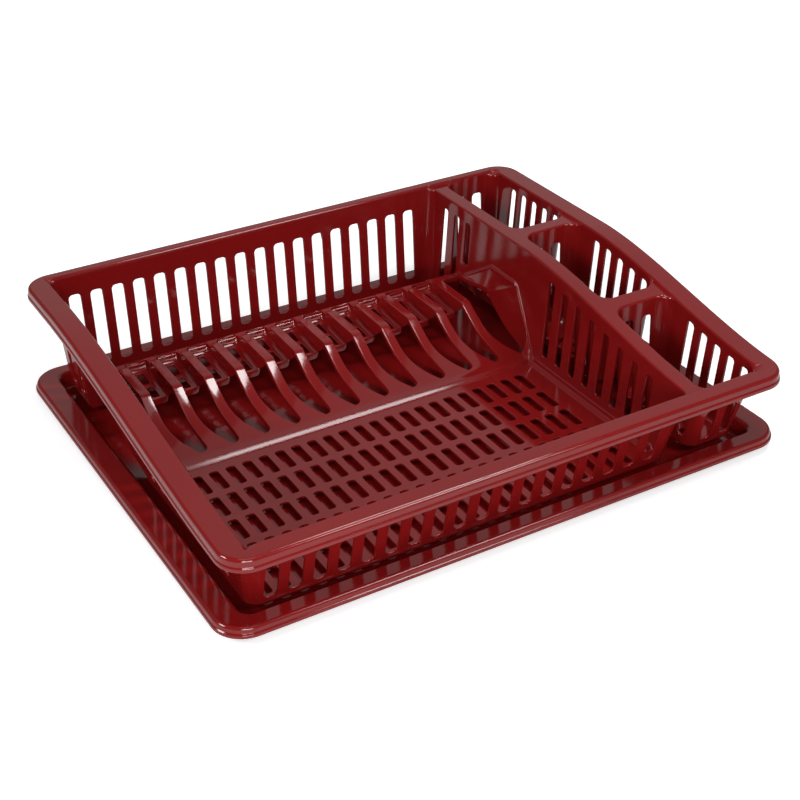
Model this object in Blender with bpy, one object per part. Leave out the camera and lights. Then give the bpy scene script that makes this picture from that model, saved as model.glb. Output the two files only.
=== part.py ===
"""A moulded plastic dish rack standing in its drip tray.

Metres, +Z up. The front of the rack faces -Y and the cutlery bays are on the +X side. The origin is
on the table, under the centre of the whole object. The shapes are drawn about the rack's own centre.
"""

import math

import bmesh
import bpy
from mathutils.geometry import delaunay_2d_cdt

# Moulding
WALL = 0.002
REST_GAP = 0.0003
OVERRUN = 0.004

# Rim of the rack: its plan, its sweep from back to front, and its lip
RIM_LENGTH = 0.472
RIM_DEPTH = 0.3947
RIM_CORNER = 0.022
BACK_HEIGHT = 0.1033
FRONT_HEIGHT = 0.072
SWEEP_START = 0.0075
SWEEP_LENGTH = 0.265
LIP_DROP = 0.010
LIP_STEP = 0.0010
LIP_STEP_DROP = 0.006
EDGE_RADIUS = 0.003

# Flange between the rim's edge and the mouths, and the rails between the mouths
FLANGE_SIDE = 0.020
FLANGE_FRONT = 0.0164
FLANGE_BACK = 0.0114
RAIL_WIDTH = 0.014
RAIL_DROP = 0.003
RAIL_STEP = 0.002
BAY_LENGTH = 0.0535
BAY_COUNT = 3
MOUTH_CORNER = 0.008

# Walls: how far each leans inward from its mouth down to the floor
LEAN_SIDE = 0.007
LEAN_FRONT = 0.015
LEAN_BACK = 0.005
LEAN_DIVIDER = 0.0065
LEAN_BAY = 0.004
FOOT_CORNER = 0.010
FOOT_RADIUS = 0.004
DIVIDER_FOOT_RADIUS = 0.0012

# Floor of the main basket
FLOOR = 0.0075
LEDGE_RISE = 0.003
STEP_RUN = 0.002

# Plate section: hollow ribs, the valleys between them and their slots
RIB_TOP = 0.040
RIB_PITCH = 0.02685
RIB_WIDTH = 0.009
RIB_DRAFT = 0.0005
DECK_FRONT_Y = 0.009
SLOPE_FOOT_Y = 0.021
TIP_Y = 0.024
TIP_WIDTH = 0.0035
RIB_FRONT_Y = 0.079
RIB_CORNER = 0.003
LIP_Y = 0.088
RIB_BACK_Y = 0.124
VALLEY_END_Y = 0.130
PLATFORM_BACK_Y = 0.134
VALLEY_LOW = 0.027
VALLEY_END = 0.030
VALLEY_HIGH = 0.039
SKIRT = 0.003
SLOPE_CURVE_SHARE = 0.55
CRESCENT_CURVE = 3.5
SLOPE_STEPS = 4
GAP_SLOT_WIDTH = 0.006
GAP_SLOT_LENGTH = 0.0165
GAP_SLOT_SPACING = 0.0205
GAP_SLOT_MARGIN = 0.003

# Gusset that carries the last rib's edge up the divider
GUSSET_TOP = 0.066

# Slots in the walls
SLOT_WIDTH = 0.0104
SLOT_PITCH = 0.0187
SLOT_CORNER = 0.004
SLOT_FOOT = 0.0095
SLOT_HEAD = 0.019
FRONT_SLOT_HEAD = 0.028
FRONT_SLOT_FOOT = 0.0075
SLOT_MARGIN = 0.0082
SIDE_SLOT_WIDTH = 0.008
SIDE_SLOT_PITCH = 0.0163
SIDE_SLOT_HEAD = 0.008
SIDE_SLOT_MARGIN = 0.0105
SIDE_SLOT_END_MARGIN = 0.020
BAY_SLOT_COUNT = 2
DIVIDER_SLOT_HEAD = 0.014
REAR_SLOT_COUNT = 3
REAR_SLOT_MARGIN = 0.016
FRONT_SLOT_MARGIN = 0.010

# Slots in the floors
GRID_SLOT_WIDTH = 0.0077
GRID_PITCH = 0.014
GRID_SLOT_LENGTH = 0.0253
GRID_ROW_PITCH = 0.0322
GRID_MARGIN_SIDE = 0.0095
GRID_MARGIN_BACK = 0.0104
BAY_FLOOR_SLOT_WIDTH = 0.005
BAY_FLOOR_SLOT_LENGTH = 0.026
BAY_FLOOR_PITCH = 0.012
BAY_FLOOR_SLOTS = 5

# Feet under the rack
FOOT_SIZE = 0.006
FOOT_INSET = 0.022

# Drip tray
TRAY_LENGTH = 0.480
TRAY_DEPTH = 0.396
TRAY_SET_BACK = 0.004
TRAY_CORNER = 0.025
TRAY_TOP = 0.01475
TRAY_LIP_DROP = 0.008
TRAY_LIP_STEP_DROP = 0.0045
TRAY_FLANGE_SIDE = 0.020
TRAY_FLANGE_FRONT = 0.0155
TRAY_LEAN = 0.003
TRAY_MOUTH_CORNER = 0.016
TRAY_FOOT_RADIUS = 0.003

# Facets
CORNER_STEPS = 3
SWEEP_STEPS = 8
CUT_CORNER_STEPS = 1

# Colour of both mouldings, linear: a deep red gloss plastic
RED = (0.140, 0.0048, 0.0065, 1.0)
ROUGHNESS = 0.22

# Worked out from the sizes above
RIM = (-RIM_LENGTH / 2, RIM_LENGTH / 2, -RIM_DEPTH / 2, RIM_DEPTH / 2)
OPEN_LEFT = RIM[0] + FLANGE_SIDE
OPEN_RIGHT = RIM[1] - FLANGE_SIDE
OPEN_FRONT = RIM[2] + FLANGE_FRONT
OPEN_BACK = RIM[3] - FLANGE_BACK
BAY_LEFT = OPEN_RIGHT - BAY_LENGTH
DIVIDER_X = BAY_LEFT - RAIL_WIDTH
BAY_DEPTH = (OPEN_BACK - OPEN_FRONT - (BAY_COUNT - 1) * RAIL_WIDTH) / BAY_COUNT
SWEEP_FRONT_Y = RIM[2] + SWEEP_START
LEDGE = FLOOR + LEDGE_RISE
BASE = (OPEN_LEFT + LEAN_SIDE, DIVIDER_X - LEAN_DIVIDER, OPEN_FRONT + LEAN_FRONT, OPEN_BACK - LEAN_BACK)
GAP_COUNT = int((BASE[1] - BASE[0]) / RIB_PITCH)
GUSSET_FRONT_Y = TIP_Y + (RIB_FRONT_Y - TIP_Y) / SLOPE_STEPS
CENTRE_Y = (TRAY_SET_BACK + TRAY_DEPTH / 2 + RIM[2]) / 2


def between(start, end, share):
    return start + (end - start) * share


def rim_height(y):
    """Height of the flange: level at the back, then an S-curve down to the front."""
    share = min(1, max(0, (y - SWEEP_FRONT_Y) / SWEEP_LENGTH))
    return between(FRONT_HEIGHT, BACK_HEIGHT, share * share * (3 - 2 * share))


def rail_drop(x, y):
    """How far a mouth's edge lies below the flange: the rails between the mouths are lower."""
    depth = min(x - OPEN_LEFT, OPEN_RIGHT - x, y - OPEN_FRONT, OPEN_BACK - y)
    return RAIL_DROP * min(1, max(0, depth / RAIL_STEP))


def grown(rectangle, size):
    left, right, front, back = rectangle
    return (left - size, right + size, front - size, back + size)


def outline(rectangle, radius, stations=()):
    """A rounded rectangle as (x, y, outward x, outward y), anticlockwise, with more points on both sides."""
    left, right, front, back = rectangle
    corners = (
        (left + radius, front + radius, 180),
        (right - radius, front + radius, 270),
        (right - radius, back - radius, 0),
        (left + radius, back - radius, 90),
    )
    points = []
    for number, (x, y, start) in enumerate(corners):
        for step in range(CORNER_STEPS + 1):
            angle = math.radians(start + 90 * step / CORNER_STEPS)
            side_x, side_y = math.cos(angle), math.sin(angle)
            points.append((x + radius * side_x, y + radius * side_y, side_x, side_y))
        if number == 1:
            points += [(right, y, 1, 0) for y in stations]
        if number == 3:
            points += [(left, y, -1, 0) for y in reversed(stations)]
    return points


class Sheet:
    """One open surface, later thickened to the moulding's wall."""

    def __init__(self):
        self.mesh = bmesh.new()

    def point(self, x, y, z):
        return self.mesh.verts.new((x, y, z))

    def ring(self, points):
        return [self.point(*point) for point in points]

    def face(self, corners):
        """A face over these corners, in order, leaving out repeats."""
        kept = [corner for number, corner in enumerate(corners) if corner is not corners[number - 1]]
        if len(kept) > 2:
            self.mesh.faces.new(kept)

    def bridge(self, upper, lower):
        """Faces between two closed rows, seen from the side where the upper row runs to the left."""
        for number in range(len(upper)):
            after = (number + 1) % len(upper)
            self.face([upper[number], lower[number], lower[after], upper[after]])

    def fill(self, border, holes=()):
        """Triangles inside the border and outside the holes, each a ring of points."""
        rings = [list(border), *[list(hole) for hole in holes]]
        corners = [corner for ring in rings for corner in ring]
        number = {corner: index for index, corner in enumerate(corners)}
        edges = []
        for ring in rings:
            edges += [(number[corner], number[ring[index - 1]]) for index, corner in enumerate(ring)]
        spots = [corner.co.xy for corner in corners]
        _, _, triangles, _, _, _ = delaunay_2d_cdt(spots, edges, [], 0, WALL * 1e-6)
        for triangle in triangles:
            middle = sum((spots[index] for index in triangle[1:]), spots[triangle[0]].copy()) / 3
            if inside(middle, rings[0]) and not any(inside(middle, ring) for ring in rings[1:]):
                self.face([corners[index] for index in triangle])

    def solid(self, name):
        """The surface as an object with the moulding's wall under it."""
        bmesh.ops.recalc_face_normals(self.mesh, faces=self.mesh.faces)
        top = max(self.mesh.faces, key=lambda face: face.calc_center_median().z)
        if top.normal.z < 0:
            bmesh.ops.reverse_faces(self.mesh, faces=self.mesh.faces)
        data = bpy.data.meshes.new(name)
        self.mesh.to_mesh(data)
        self.mesh.free()
        body = bpy.data.objects.new(name, data)
        bpy.context.scene.collection.objects.link(body)
        shell = body.modifiers.new("wall", "SOLIDIFY")
        shell.thickness = WALL
        shell.offset = -1
        shell.use_even_offset = True
        shell.use_quality_normals = True
        return body


def inside(spot, ring):
    """Whether a plan point lies inside a ring of points."""
    found = False
    for index, corner in enumerate(ring):
        x1, y1 = corner.co.xy
        x2, y2 = ring[index - 1].co.xy
        if (y1 > spot.y) != (y2 > spot.y) and spot.x < x1 + (spot.y - y1) * (x2 - x1) / (y2 - y1):
            found = not found
    return found


def sweep_stations(front, back):
    """Places along a side where the flange's S-curve gets points."""
    places = [SWEEP_FRONT_Y + SWEEP_LENGTH * step / SWEEP_STEPS for step in range(SWEEP_STEPS + 1)]
    return [y for y in places if front < y < back]


def rim_rings(sheet):
    """The rim's lip and rounded edge. Returns the ring where the flat flange starts."""
    profile = (
        (0, LIP_DROP),
        (0, LIP_STEP_DROP + LIP_STEP),
        (LIP_STEP, LIP_STEP_DROP),
        (LIP_STEP + EDGE_RADIUS * 0.3, EDGE_RADIUS * 0.3),
        (LIP_STEP + EDGE_RADIUS, 0),
    )
    stations = sweep_stations(RIM[2] + RIM_CORNER, RIM[3] - RIM_CORNER)
    ring = None
    for inset, drop in profile:
        plan = outline(grown(RIM, -inset), RIM_CORNER - inset, stations)
        lower = ring
        ring = sheet.ring([(x, y, rim_height(y) - drop) for x, y, _, _ in plan])
        if lower:
            sheet.bridge(ring, lower)
    return ring


def pocket(sheet, mouth, base, stations, floor_at, foot_radius_at):
    """One mouth with its rounded edge, leaning walls and rounded foot. Returns its edge and foot rings."""
    upper = outline(mouth, MOUTH_CORNER, stations)
    lower = outline(base, FOOT_CORNER, stations)
    tops = [rim_height(y) - rail_drop(x, y) for x, y, _, _ in upper]
    rings = []
    for out, drop in ((EDGE_RADIUS, 0), (EDGE_RADIUS * 0.3, EDGE_RADIUS * 0.3), (0, EDGE_RADIUS)):
        row = []
        for (x, y, side_x, side_y), top in zip(upper, tops):
            row.append((x + side_x * out, y + side_y * out, top - drop))
        rings.append(sheet.ring(row))
    for lift_share, inset_share in ((1, 0), (0, 1)):
        row = []
        for (x1, y1, _, _), (x2, y2, side_x, side_y), top in zip(upper, lower, tops):
            radius = foot_radius_at(x2, y2)
            z = floor_at(x2, y2) + radius * lift_share
            share = (top - EDGE_RADIUS - z) / (top - EDGE_RADIUS - FLOOR)
            inset = radius * inset_share
            x = between(x1, x2, share) - side_x * inset
            y = between(y1, y2, share) - side_y * inset
            row.append((x, y, z))
        rings.append(sheet.ring(row))
    for number in range(1, len(rings)):
        sheet.bridge(rings[number - 1], rings[number])
    return rings[0], rings[-1]


def rib_surface_height(y):
    """Height of the ribs' upper surface: flat on top, then a hollow slope down to the deck."""
    if y > PLATFORM_BACK_Y:
        return FLOOR
    if y > RIB_BACK_Y:
        return VALLEY_HIGH
    if y > RIB_FRONT_Y:
        return RIB_TOP
    share = max(0, (y - SLOPE_FOOT_Y) / (RIB_FRONT_Y - SLOPE_FOOT_Y))
    curve = (1 - SLOPE_CURVE_SHARE) * share + SLOPE_CURVE_SHARE * share * share
    return between(LEDGE, RIB_TOP, curve)


def rib_side_height(y):
    """Height of the lower edge of the ribs' sides: the valley floor, then the skirt by the crescents."""
    if y > PLATFORM_BACK_Y:
        return FLOOR
    if y > VALLEY_END_Y:
        return between(VALLEY_END, VALLEY_HIGH, (y - VALLEY_END_Y) / (PLATFORM_BACK_Y - VALLEY_END_Y))
    if y > LIP_Y - STEP_RUN / 2:
        return between(VALLEY_LOW, VALLEY_END, (y - LIP_Y) / (VALLEY_END_Y - LIP_Y))
    if y > RIB_FRONT_Y:
        return RIB_TOP - 2 * SKIRT
    return rib_surface_height(y) - SKIRT


def gusset_height(y):
    """Height of the gusset's line on the divider."""
    if y > PLATFORM_BACK_Y:
        return FLOOR
    if y > LIP_Y:
        return between(GUSSET_TOP, RIB_TOP, (y - LIP_Y) / (PLATFORM_BACK_Y - LIP_Y))
    if y > GUSSET_FRONT_Y:
        return GUSSET_TOP
    return between(LEDGE, GUSSET_TOP, (y - DECK_FRONT_Y) / (GUSSET_FRONT_Y - DECK_FRONT_Y))


def crescent_width(y):
    """Width of the open crescent between two ribs: full at the slope's top, closing in a curve to its tip."""
    share = min(1, max(0, (RIB_FRONT_Y - y) / (RIB_FRONT_Y - TIP_Y)))
    return between(RIB_PITCH - RIB_WIDTH, TIP_WIDTH, share ** CRESCENT_CURVE)


def plate_rows():
    """Places from front to back where the plate section gets a row of points."""
    slope_end = RIB_FRONT_Y - RIB_CORNER
    slope = [between(TIP_Y, slope_end, step / SLOPE_STEPS) for step in range(SLOPE_STEPS + 1)]
    slope[1] = GUSSET_FRONT_Y
    foot = PLATFORM_BACK_Y + STEP_RUN
    valley = [LIP_Y, RIB_BACK_Y, VALLEY_END_Y, PLATFORM_BACK_Y]
    return [DECK_FRONT_Y, *slope, RIB_FRONT_Y + RIB_CORNER, *valley, foot]


def plate_section(sheet, left_foot, right_foot):
    """The ribs, the valleys with their lips, the crescents and the gusset. The two lists hold the points of the
    basket's foot ring at the rows. Returns the front row and the back row of points."""
    rows = plate_rows()
    first, last = 0, len(rows) - 1
    grid = []
    for number, y in enumerate(rows):
        top, side = rib_surface_height(y), rib_side_height(y)
        ends = number in (first, last)
        draft_y = RIB_DRAFT if y == TIP_Y else 0
        ribs = []
        for rib in range(GAP_COUNT + 1):
            left = BASE[0] + rib * RIB_PITCH
            right = left + RIB_PITCH - crescent_width(y)
            upper_left = left_foot[number] if rib == 0 else sheet.point(left, y, top)
            if rib == GAP_COUNT:
                upper_right = right_foot[number]
            else:
                upper_right = sheet.point(right, y, top)
            lower_left, lower_right = upper_left, upper_right
            if rib > 0 and not ends:
                lower_left = sheet.point(left - RIB_DRAFT, y + draft_y, side)
            if rib < GAP_COUNT and not ends:
                lower_right = sheet.point(right + RIB_DRAFT, y + draft_y, side)
            ribs.append((lower_left, upper_left, upper_right, lower_right))
        grid.append(ribs)
    for number in range(last):
        near, far = grid[number], grid[number + 1]
        skirts = number > 0
        for rib in range(GAP_COUNT + 1):
            sheet.face([near[rib][1], near[rib][2], far[rib][2], far[rib][1]])
            if skirts and rib > 0:
                sheet.face([near[rib][0], near[rib][1], far[rib][1], far[rib][0]])
            if skirts and rib < GAP_COUNT:
                sheet.face([near[rib][2], near[rib][3], far[rib][3], far[rib][2]])
        for rib in range(GAP_COUNT):
            if rows[number] >= LIP_Y:
                sheet.face([near[rib][3], near[rib + 1][0], far[rib + 1][0], far[rib][3]])
            if number == 0:
                sheet.face([near[rib][2], near[rib + 1][1], far[rib + 1][1], far[rib][2]])
                sheet.face([far[rib][2], far[rib + 1][1], far[rib + 1][0], far[rib][3]])
            if rows[number] == LIP_Y:
                lip_left = sheet.point(near[rib][3].co.x, LIP_Y - RIB_DRAFT, VALLEY_LOW - SKIRT)
                lip_right = sheet.point(near[rib + 1][0].co.x, LIP_Y - RIB_DRAFT, VALLEY_LOW - SKIRT)
                sheet.face([lip_left, lip_right, near[rib + 1][0], near[rib][3]])
    front, back = grid[0], grid[-1]
    return [point for rib in front for point in rib[1:3]], [point for rib in back for point in rib[1:3]]


def main_basket(sheet):
    """The main pocket with its floor, ledge and plate section. Returns its edge ring."""
    rows = plate_rows()
    step_y = DECK_FRONT_Y - STEP_RUN
    ledge_end = BASE[2] + FOOT_CORNER + FOOT_RADIUS
    sweep = sweep_stations(ledge_end + STEP_RUN * 2, BASE[3] - FOOT_CORNER)
    far = [y for y in sweep if y < step_y - STEP_RUN or y > rows[-1] + STEP_RUN]
    stations = sorted([*far, *rows, step_y, ledge_end, ledge_end + STEP_RUN])
    middle_x = (BASE[0] + BASE[1]) / 2

    def floor_at(x, y):
        if x < middle_x:
            return FLOOR if y < DECK_FRONT_Y - STEP_RUN / 2 else rib_surface_height(y)
        if y < ledge_end + STEP_RUN / 2:
            return FLOOR
        return gusset_height(y) if y > DECK_FRONT_Y else (FLOOR if y > rows[-1] else LEDGE)

    def foot_radius_at(x, y):
        share = min(1, max(0, (x - middle_x) / (BASE[1] - middle_x)))
        return between(FOOT_RADIUS, DIVIDER_FOOT_RADIUS, share ** 4)

    mouth = (OPEN_LEFT, DIVIDER_X, OPEN_FRONT, OPEN_BACK)
    edge, foot = pocket(sheet, mouth, BASE, stations, floor_at, foot_radius_at)
    start_right = 2 * (CORNER_STEPS + 1)
    start_left = start_right + len(stations) + 2 * (CORNER_STEPS + 1)
    right = foot[start_right : start_right + len(stations)]
    left = foot[start_left:][::-1]
    at = {y: number for number, y in enumerate(stations)}
    front_row, back_row = plate_section(sheet, [left[at[y]] for y in rows], [right[at[y]] for y in rows])

    ledge_left = front_row[-3]
    ledge_x = ledge_left.co.x
    ledge_near = sheet.point(ledge_x, stations[1], LEDGE)
    low_far = sheet.point(ledge_x - STEP_RUN, step_y, FLOOR)
    low_near = sheet.point(ledge_x - STEP_RUN, ledge_end, FLOOR)
    ledge_near.co.y = ledge_end + STEP_RUN
    deck = at[DECK_FRONT_Y]
    ledge_side = right[1 : deck + 1]
    sheet.fill([ledge_near, *ledge_side, front_row[-2], ledge_left])
    sheet.face([left[at[step_y]], low_far, *front_row[: len(front_row) - 2][::-1]])
    sheet.face([low_far, low_near, ledge_near, ledge_left])
    sheet.face([low_near, right[0], right[1], ledge_near])
    front_arc = foot[:start_right]
    down_left = left[: at[step_y] + 1][::-1]
    sheet.fill([*down_left, *front_arc, right[0], low_near, low_far])
    back = at[rows[-1]]
    back_arc = foot[start_right + len(stations) : start_left]
    sheet.fill([*right[back:], *back_arc, *left[back:][::-1], *back_row[1:-1]])
    return edge


def bay_mouth(number):
    """Mouth of one cutlery bay, counted from the front."""
    front = OPEN_FRONT + number * (BAY_DEPTH + RAIL_WIDTH)
    return (BAY_LEFT, OPEN_RIGHT, front, front + BAY_DEPTH)


def bay_base(number):
    left, right, front, back = bay_mouth(number)
    front_lean = LEAN_FRONT if number == 0 else LEAN_BAY
    return (left + LEAN_BAY, right - LEAN_SIDE, front + front_lean, back - LEAN_BAY)


def bay(sheet, number):
    """One cutlery pot. Returns its edge ring."""
    base = bay_base(number)
    room = FOOT_CORNER + RAIL_STEP
    stations = sweep_stations(base[2] + room, base[3] - room)
    edge, foot = pocket(
        sheet, bay_mouth(number), base, stations, lambda x, y: FLOOR, lambda x, y: FOOT_RADIUS
    )
    sheet.face(foot)
    return edge


def prism(cutters, points, along):
    """A closed prism over these points, pushed along a vector, added to the cutters' mesh."""
    near = [cutters.verts.new(point) for point in points]
    far = [cutters.verts.new([a + b for a, b in zip(point, along)]) for point in points]
    faces = [cutters.faces.new(near), cutters.faces.new(far[::-1])]
    for number, corner in enumerate(near):
        after = (number + 1) % len(near)
        faces.append(cutters.faces.new([near[after], corner, far[number], far[after]]))
    bmesh.ops.recalc_face_normals(cutters, faces=faces)


def slot_outline(start, width, foot, heads, mirrored):
    """A tall slot as (across, height) points. Two opposite corners are rounded, the others if mirrored."""
    radius = min(SLOT_CORNER, width / 2)
    low_start, low_end = (foot, foot)
    head_start, head_end = heads
    corners = (
        (start, low_start, 1, 1, mirrored),
        (start + width, low_end, -1, 1, not mirrored),
        (start + width, head_end, -1, -1, mirrored),
        (start, head_start, 1, -1, not mirrored),
    )
    points = []
    for number, (across, height, side, up, rounded) in enumerate(corners):
        if not rounded:
            points.append((across, height))
            continue
        for step in range(CUT_CORNER_STEPS + 1):
            angle = math.radians(180 + 90 * number + 90 * step / CUT_CORNER_STEPS)
            centre_across, centre_height = across + side * radius, height + up * radius
            round_across = centre_across + radius * math.cos(angle)
            points.append((round_across, centre_height + radius * math.sin(angle)))
    return points


def columns(first, last, width, pitch):
    """Left edges of as many slots as fit from first up to last."""
    count = int((last - first - width) / pitch) + 1
    return [first + number * pitch for number in range(count)]


def centred(middle, count, width, pitch):
    start = middle - ((count - 1) * pitch + width) / 2
    return [start + number * pitch for number in range(count)]


def cross_slots(cutters, starts, width, foot, head_at, y, reach):
    """Slots through a wall that runs along X, at y, cut over the reach on either side."""
    for number, start in enumerate(starts):
        points = slot_outline(start, width, foot, (head_at(y), head_at(y)), number % 2 == 1)
        prism(cutters, [(across, y - reach, height) for across, height in points], (0, 2 * reach, 0))


def side_slots(cutters, starts, width, foot_at, drop, x, reach):
    """Slots through a wall that runs along Y, at x. Their heads follow the rim."""
    for number, start in enumerate(starts):
        heads = (rim_height(start) - drop, rim_height(start + width) - drop)
        points = slot_outline(start, width, foot_at(start + width / 2), heads, number % 2 == 1)
        prism(cutters, [(x - reach, across, height) for across, height in points], (2 * reach, 0, 0))


def wall_slots(cutters):
    """Every slot in the upright walls."""
    reach = LEAN_FRONT / 2 + OVERRUN
    low = FLOOR + SLOT_FOOT
    main = columns(BASE[0] + SLOT_MARGIN, BASE[1], SLOT_WIDTH, SLOT_PITCH)
    bay_middle = (bay_base(0)[0] + bay_base(0)[1]) / 2
    pairs = centred(bay_middle, BAY_SLOT_COUNT, SLOT_WIDTH, SLOT_PITCH)

    def back_head(y):
        return rim_height(y) - SLOT_HEAD

    def front_head(y):
        return rim_height(y) - FRONT_SLOT_HEAD

    cross_slots(cutters, main, SLOT_WIDTH, low, back_head, OPEN_BACK - LEAN_BACK / 2, reach)
    cross_slots(cutters, pairs, SLOT_WIDTH, low, back_head, OPEN_BACK - LEAN_BACK / 2, reach)
    front_middle = OPEN_FRONT + LEAN_FRONT / 2
    cross_slots(cutters, main, SLOT_WIDTH, FLOOR + FRONT_SLOT_FOOT, front_head, front_middle, reach)
    front_low = FLOOR + FRONT_SLOT_FOOT
    cross_slots(cutters, pairs, SLOT_WIDTH, front_low, front_head, front_middle, reach)
    for number in range(BAY_COUNT):
        left, right, front, back = bay_mouth(number)
        if number > 0:
            middle = front - RAIL_WIDTH / 2
            reach = RAIL_WIDTH / 2 + LEAN_BAY + WALL
            cross_slots(cutters, pairs, SLOT_WIDTH, low, back_head, middle, reach)
        first, last = front + SIDE_SLOT_MARGIN, back - SIDE_SLOT_END_MARGIN
        starts = columns(first, last, SIDE_SLOT_WIDTH, SIDE_SLOT_PITCH)
        right_middle = right - LEAN_SIDE / 2
        side_reach = LEAN_SIDE / 2 + OVERRUN
        side_slots(
            cutters, starts, SIDE_SLOT_WIDTH, lambda y: low, SIDE_SLOT_HEAD, right_middle, side_reach
        )
        left_starts = columns(first + SIDE_SLOT_PITCH / 2, last, SIDE_SLOT_WIDTH, SIDE_SLOT_PITCH)
        left_middle = left + LEAN_BAY / 2
        side_slots(
            cutters, left_starts, SIDE_SLOT_WIDTH, lambda y: low, DIVIDER_SLOT_HEAD, left_middle, OVERRUN
        )
    basket_side_slots(cutters, low)


def basket_side_slots(cutters, low):
    """Slots in the divider and the basket's left wall: three tall ones behind the ribs, then the front row."""
    rear_first = BASE[3] - REAR_SLOT_MARGIN - SIDE_SLOT_WIDTH
    rear = [rear_first - index * SLOT_PITCH for index in range(REAR_SLOT_COUNT)]
    front_last = DECK_FRONT_Y - FRONT_SLOT_MARGIN - SIDE_SLOT_WIDTH
    count = int((front_last - BASE[2] - FOOT_CORNER) / SLOT_PITCH) + 1
    front = [front_last - index * SLOT_PITCH for index in range(count)]

    def foot_at(y):
        platform_end = PLATFORM_BACK_Y + STEP_RUN + OVERRUN
        return RIB_TOP + SLOT_FOOT if DECK_FRONT_Y < y < platform_end else low

    for middle, reach in (
        (DIVIDER_X - LEAN_DIVIDER / 2, LEAN_DIVIDER / 2 + WALL * 1.5),
        (OPEN_LEFT + LEAN_SIDE / 2, LEAN_SIDE / 2 + OVERRUN),
    ):
        side_slots(cutters, rear[::-1], SIDE_SLOT_WIDTH, foot_at, DIVIDER_SLOT_HEAD, middle, reach)
        side_slots(cutters, front[::-1], SIDE_SLOT_WIDTH, foot_at, DIVIDER_SLOT_HEAD, middle, reach)


def upright_slot(cutters, left, front, width, length, low, high):
    corners = ((left, front), (left + width, front), (left + width, front + length), (left, front + length))
    prism(cutters, [(x, y, low) for x, y in corners], (0, 0, high - low))


def floor_slots(cutters):
    """The grid in the basket's floor, the pairs in the valleys and the rows in the bays' floors."""
    low, high = FLOOR - WALL - OVERRUN / 2, FLOOR + OVERRUN / 2
    grid_right = BASE[1] - GRID_MARGIN_SIDE
    last_row = DECK_FRONT_Y - STEP_RUN - GRID_MARGIN_BACK - GRID_SLOT_LENGTH
    rows = int((last_row - BASE[2] - FOOT_RADIUS) / GRID_ROW_PITCH) + 1
    starts = columns(BASE[0] + GRID_MARGIN_SIDE + FOOT_RADIUS, grid_right, GRID_SLOT_WIDTH, GRID_PITCH)
    for row in range(rows):
        front = last_row - row * GRID_ROW_PITCH
        for left in starts:
            upright_slot(cutters, left, front, GRID_SLOT_WIDTH, GRID_SLOT_LENGTH, low, high)
    for gap in range(GAP_COUNT):
        middle = BASE[0] + (gap + 1) * RIB_PITCH - (RIB_PITCH - RIB_WIDTH) / 2
        for number in range(2):
            front = LIP_Y + GAP_SLOT_MARGIN + number * GAP_SLOT_SPACING
            left = middle - GAP_SLOT_WIDTH / 2
            floor_low = VALLEY_LOW - WALL - OVERRUN
            upright_slot(cutters, left, front, GAP_SLOT_WIDTH, GAP_SLOT_LENGTH, floor_low, RIB_TOP)
    for number in range(BAY_COUNT):
        left, right, front, back = bay_base(number)
        middle = (left + right - BAY_FLOOR_SLOT_LENGTH) / 2
        for start in centred((front + back) / 2, BAY_FLOOR_SLOTS, BAY_FLOOR_SLOT_WIDTH, BAY_FLOOR_PITCH):
            upright_slot(cutters, middle, start, BAY_FLOOR_SLOT_LENGTH, BAY_FLOOR_SLOT_WIDTH, low, high)


def helper(name, mesh):
    """A cutter or joined piece: in the file, but not in a render."""
    data = bpy.data.meshes.new(name)
    mesh.to_mesh(data)
    mesh.free()
    shape = bpy.data.objects.new(name, data)
    bpy.context.scene.collection.objects.link(shape)
    shape.hide_render = True
    shape.display_type = "WIRE"
    return shape


def combine(body, operation, other):
    step = body.modifiers.new(other.name, "BOOLEAN")
    step.operation = operation
    step.object = other
    step.solver = "EXACT"


def feet():
    """Small feet that keep the rack's floor off the tray."""
    mesh = bmesh.new()
    low, high = WALL + REST_GAP, FLOOR - WALL / 2
    across = (BASE[0], BASE[1] - 2 * FOOT_INSET)
    spots = [(x, y) for x in across for y in (BASE[2], BASE[3] - 2 * FOOT_INSET)]
    spots += [(bay_base(number)[1] - 2 * FOOT_INSET, bay_base(number)[2] - FOOT_SIZE) for number in (0, 2)]
    for x, y in spots:
        corners = outline((x, x + FOOT_SIZE, y, y + FOOT_SIZE), FOOT_SIZE / 4)
        prism(mesh, [(a + FOOT_INSET, b + FOOT_INSET, low) for a, b, _, _ in corners], (0, 0, high - low))
    return helper("feet", mesh)


def dish_rack():
    sheet = Sheet()
    rim = rim_rings(sheet)
    mouths = [main_basket(sheet)]
    mouths += [bay(sheet, number) for number in range(BAY_COUNT)]
    sheet.fill(rim, mouths)
    body = sheet.solid("dish_rack")
    combine(body, "UNION", feet())
    cutters = bmesh.new()
    wall_slots(cutters)
    floor_slots(cutters)
    combine(body, "DIFFERENCE", helper("slots", cutters))
    return body


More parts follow.
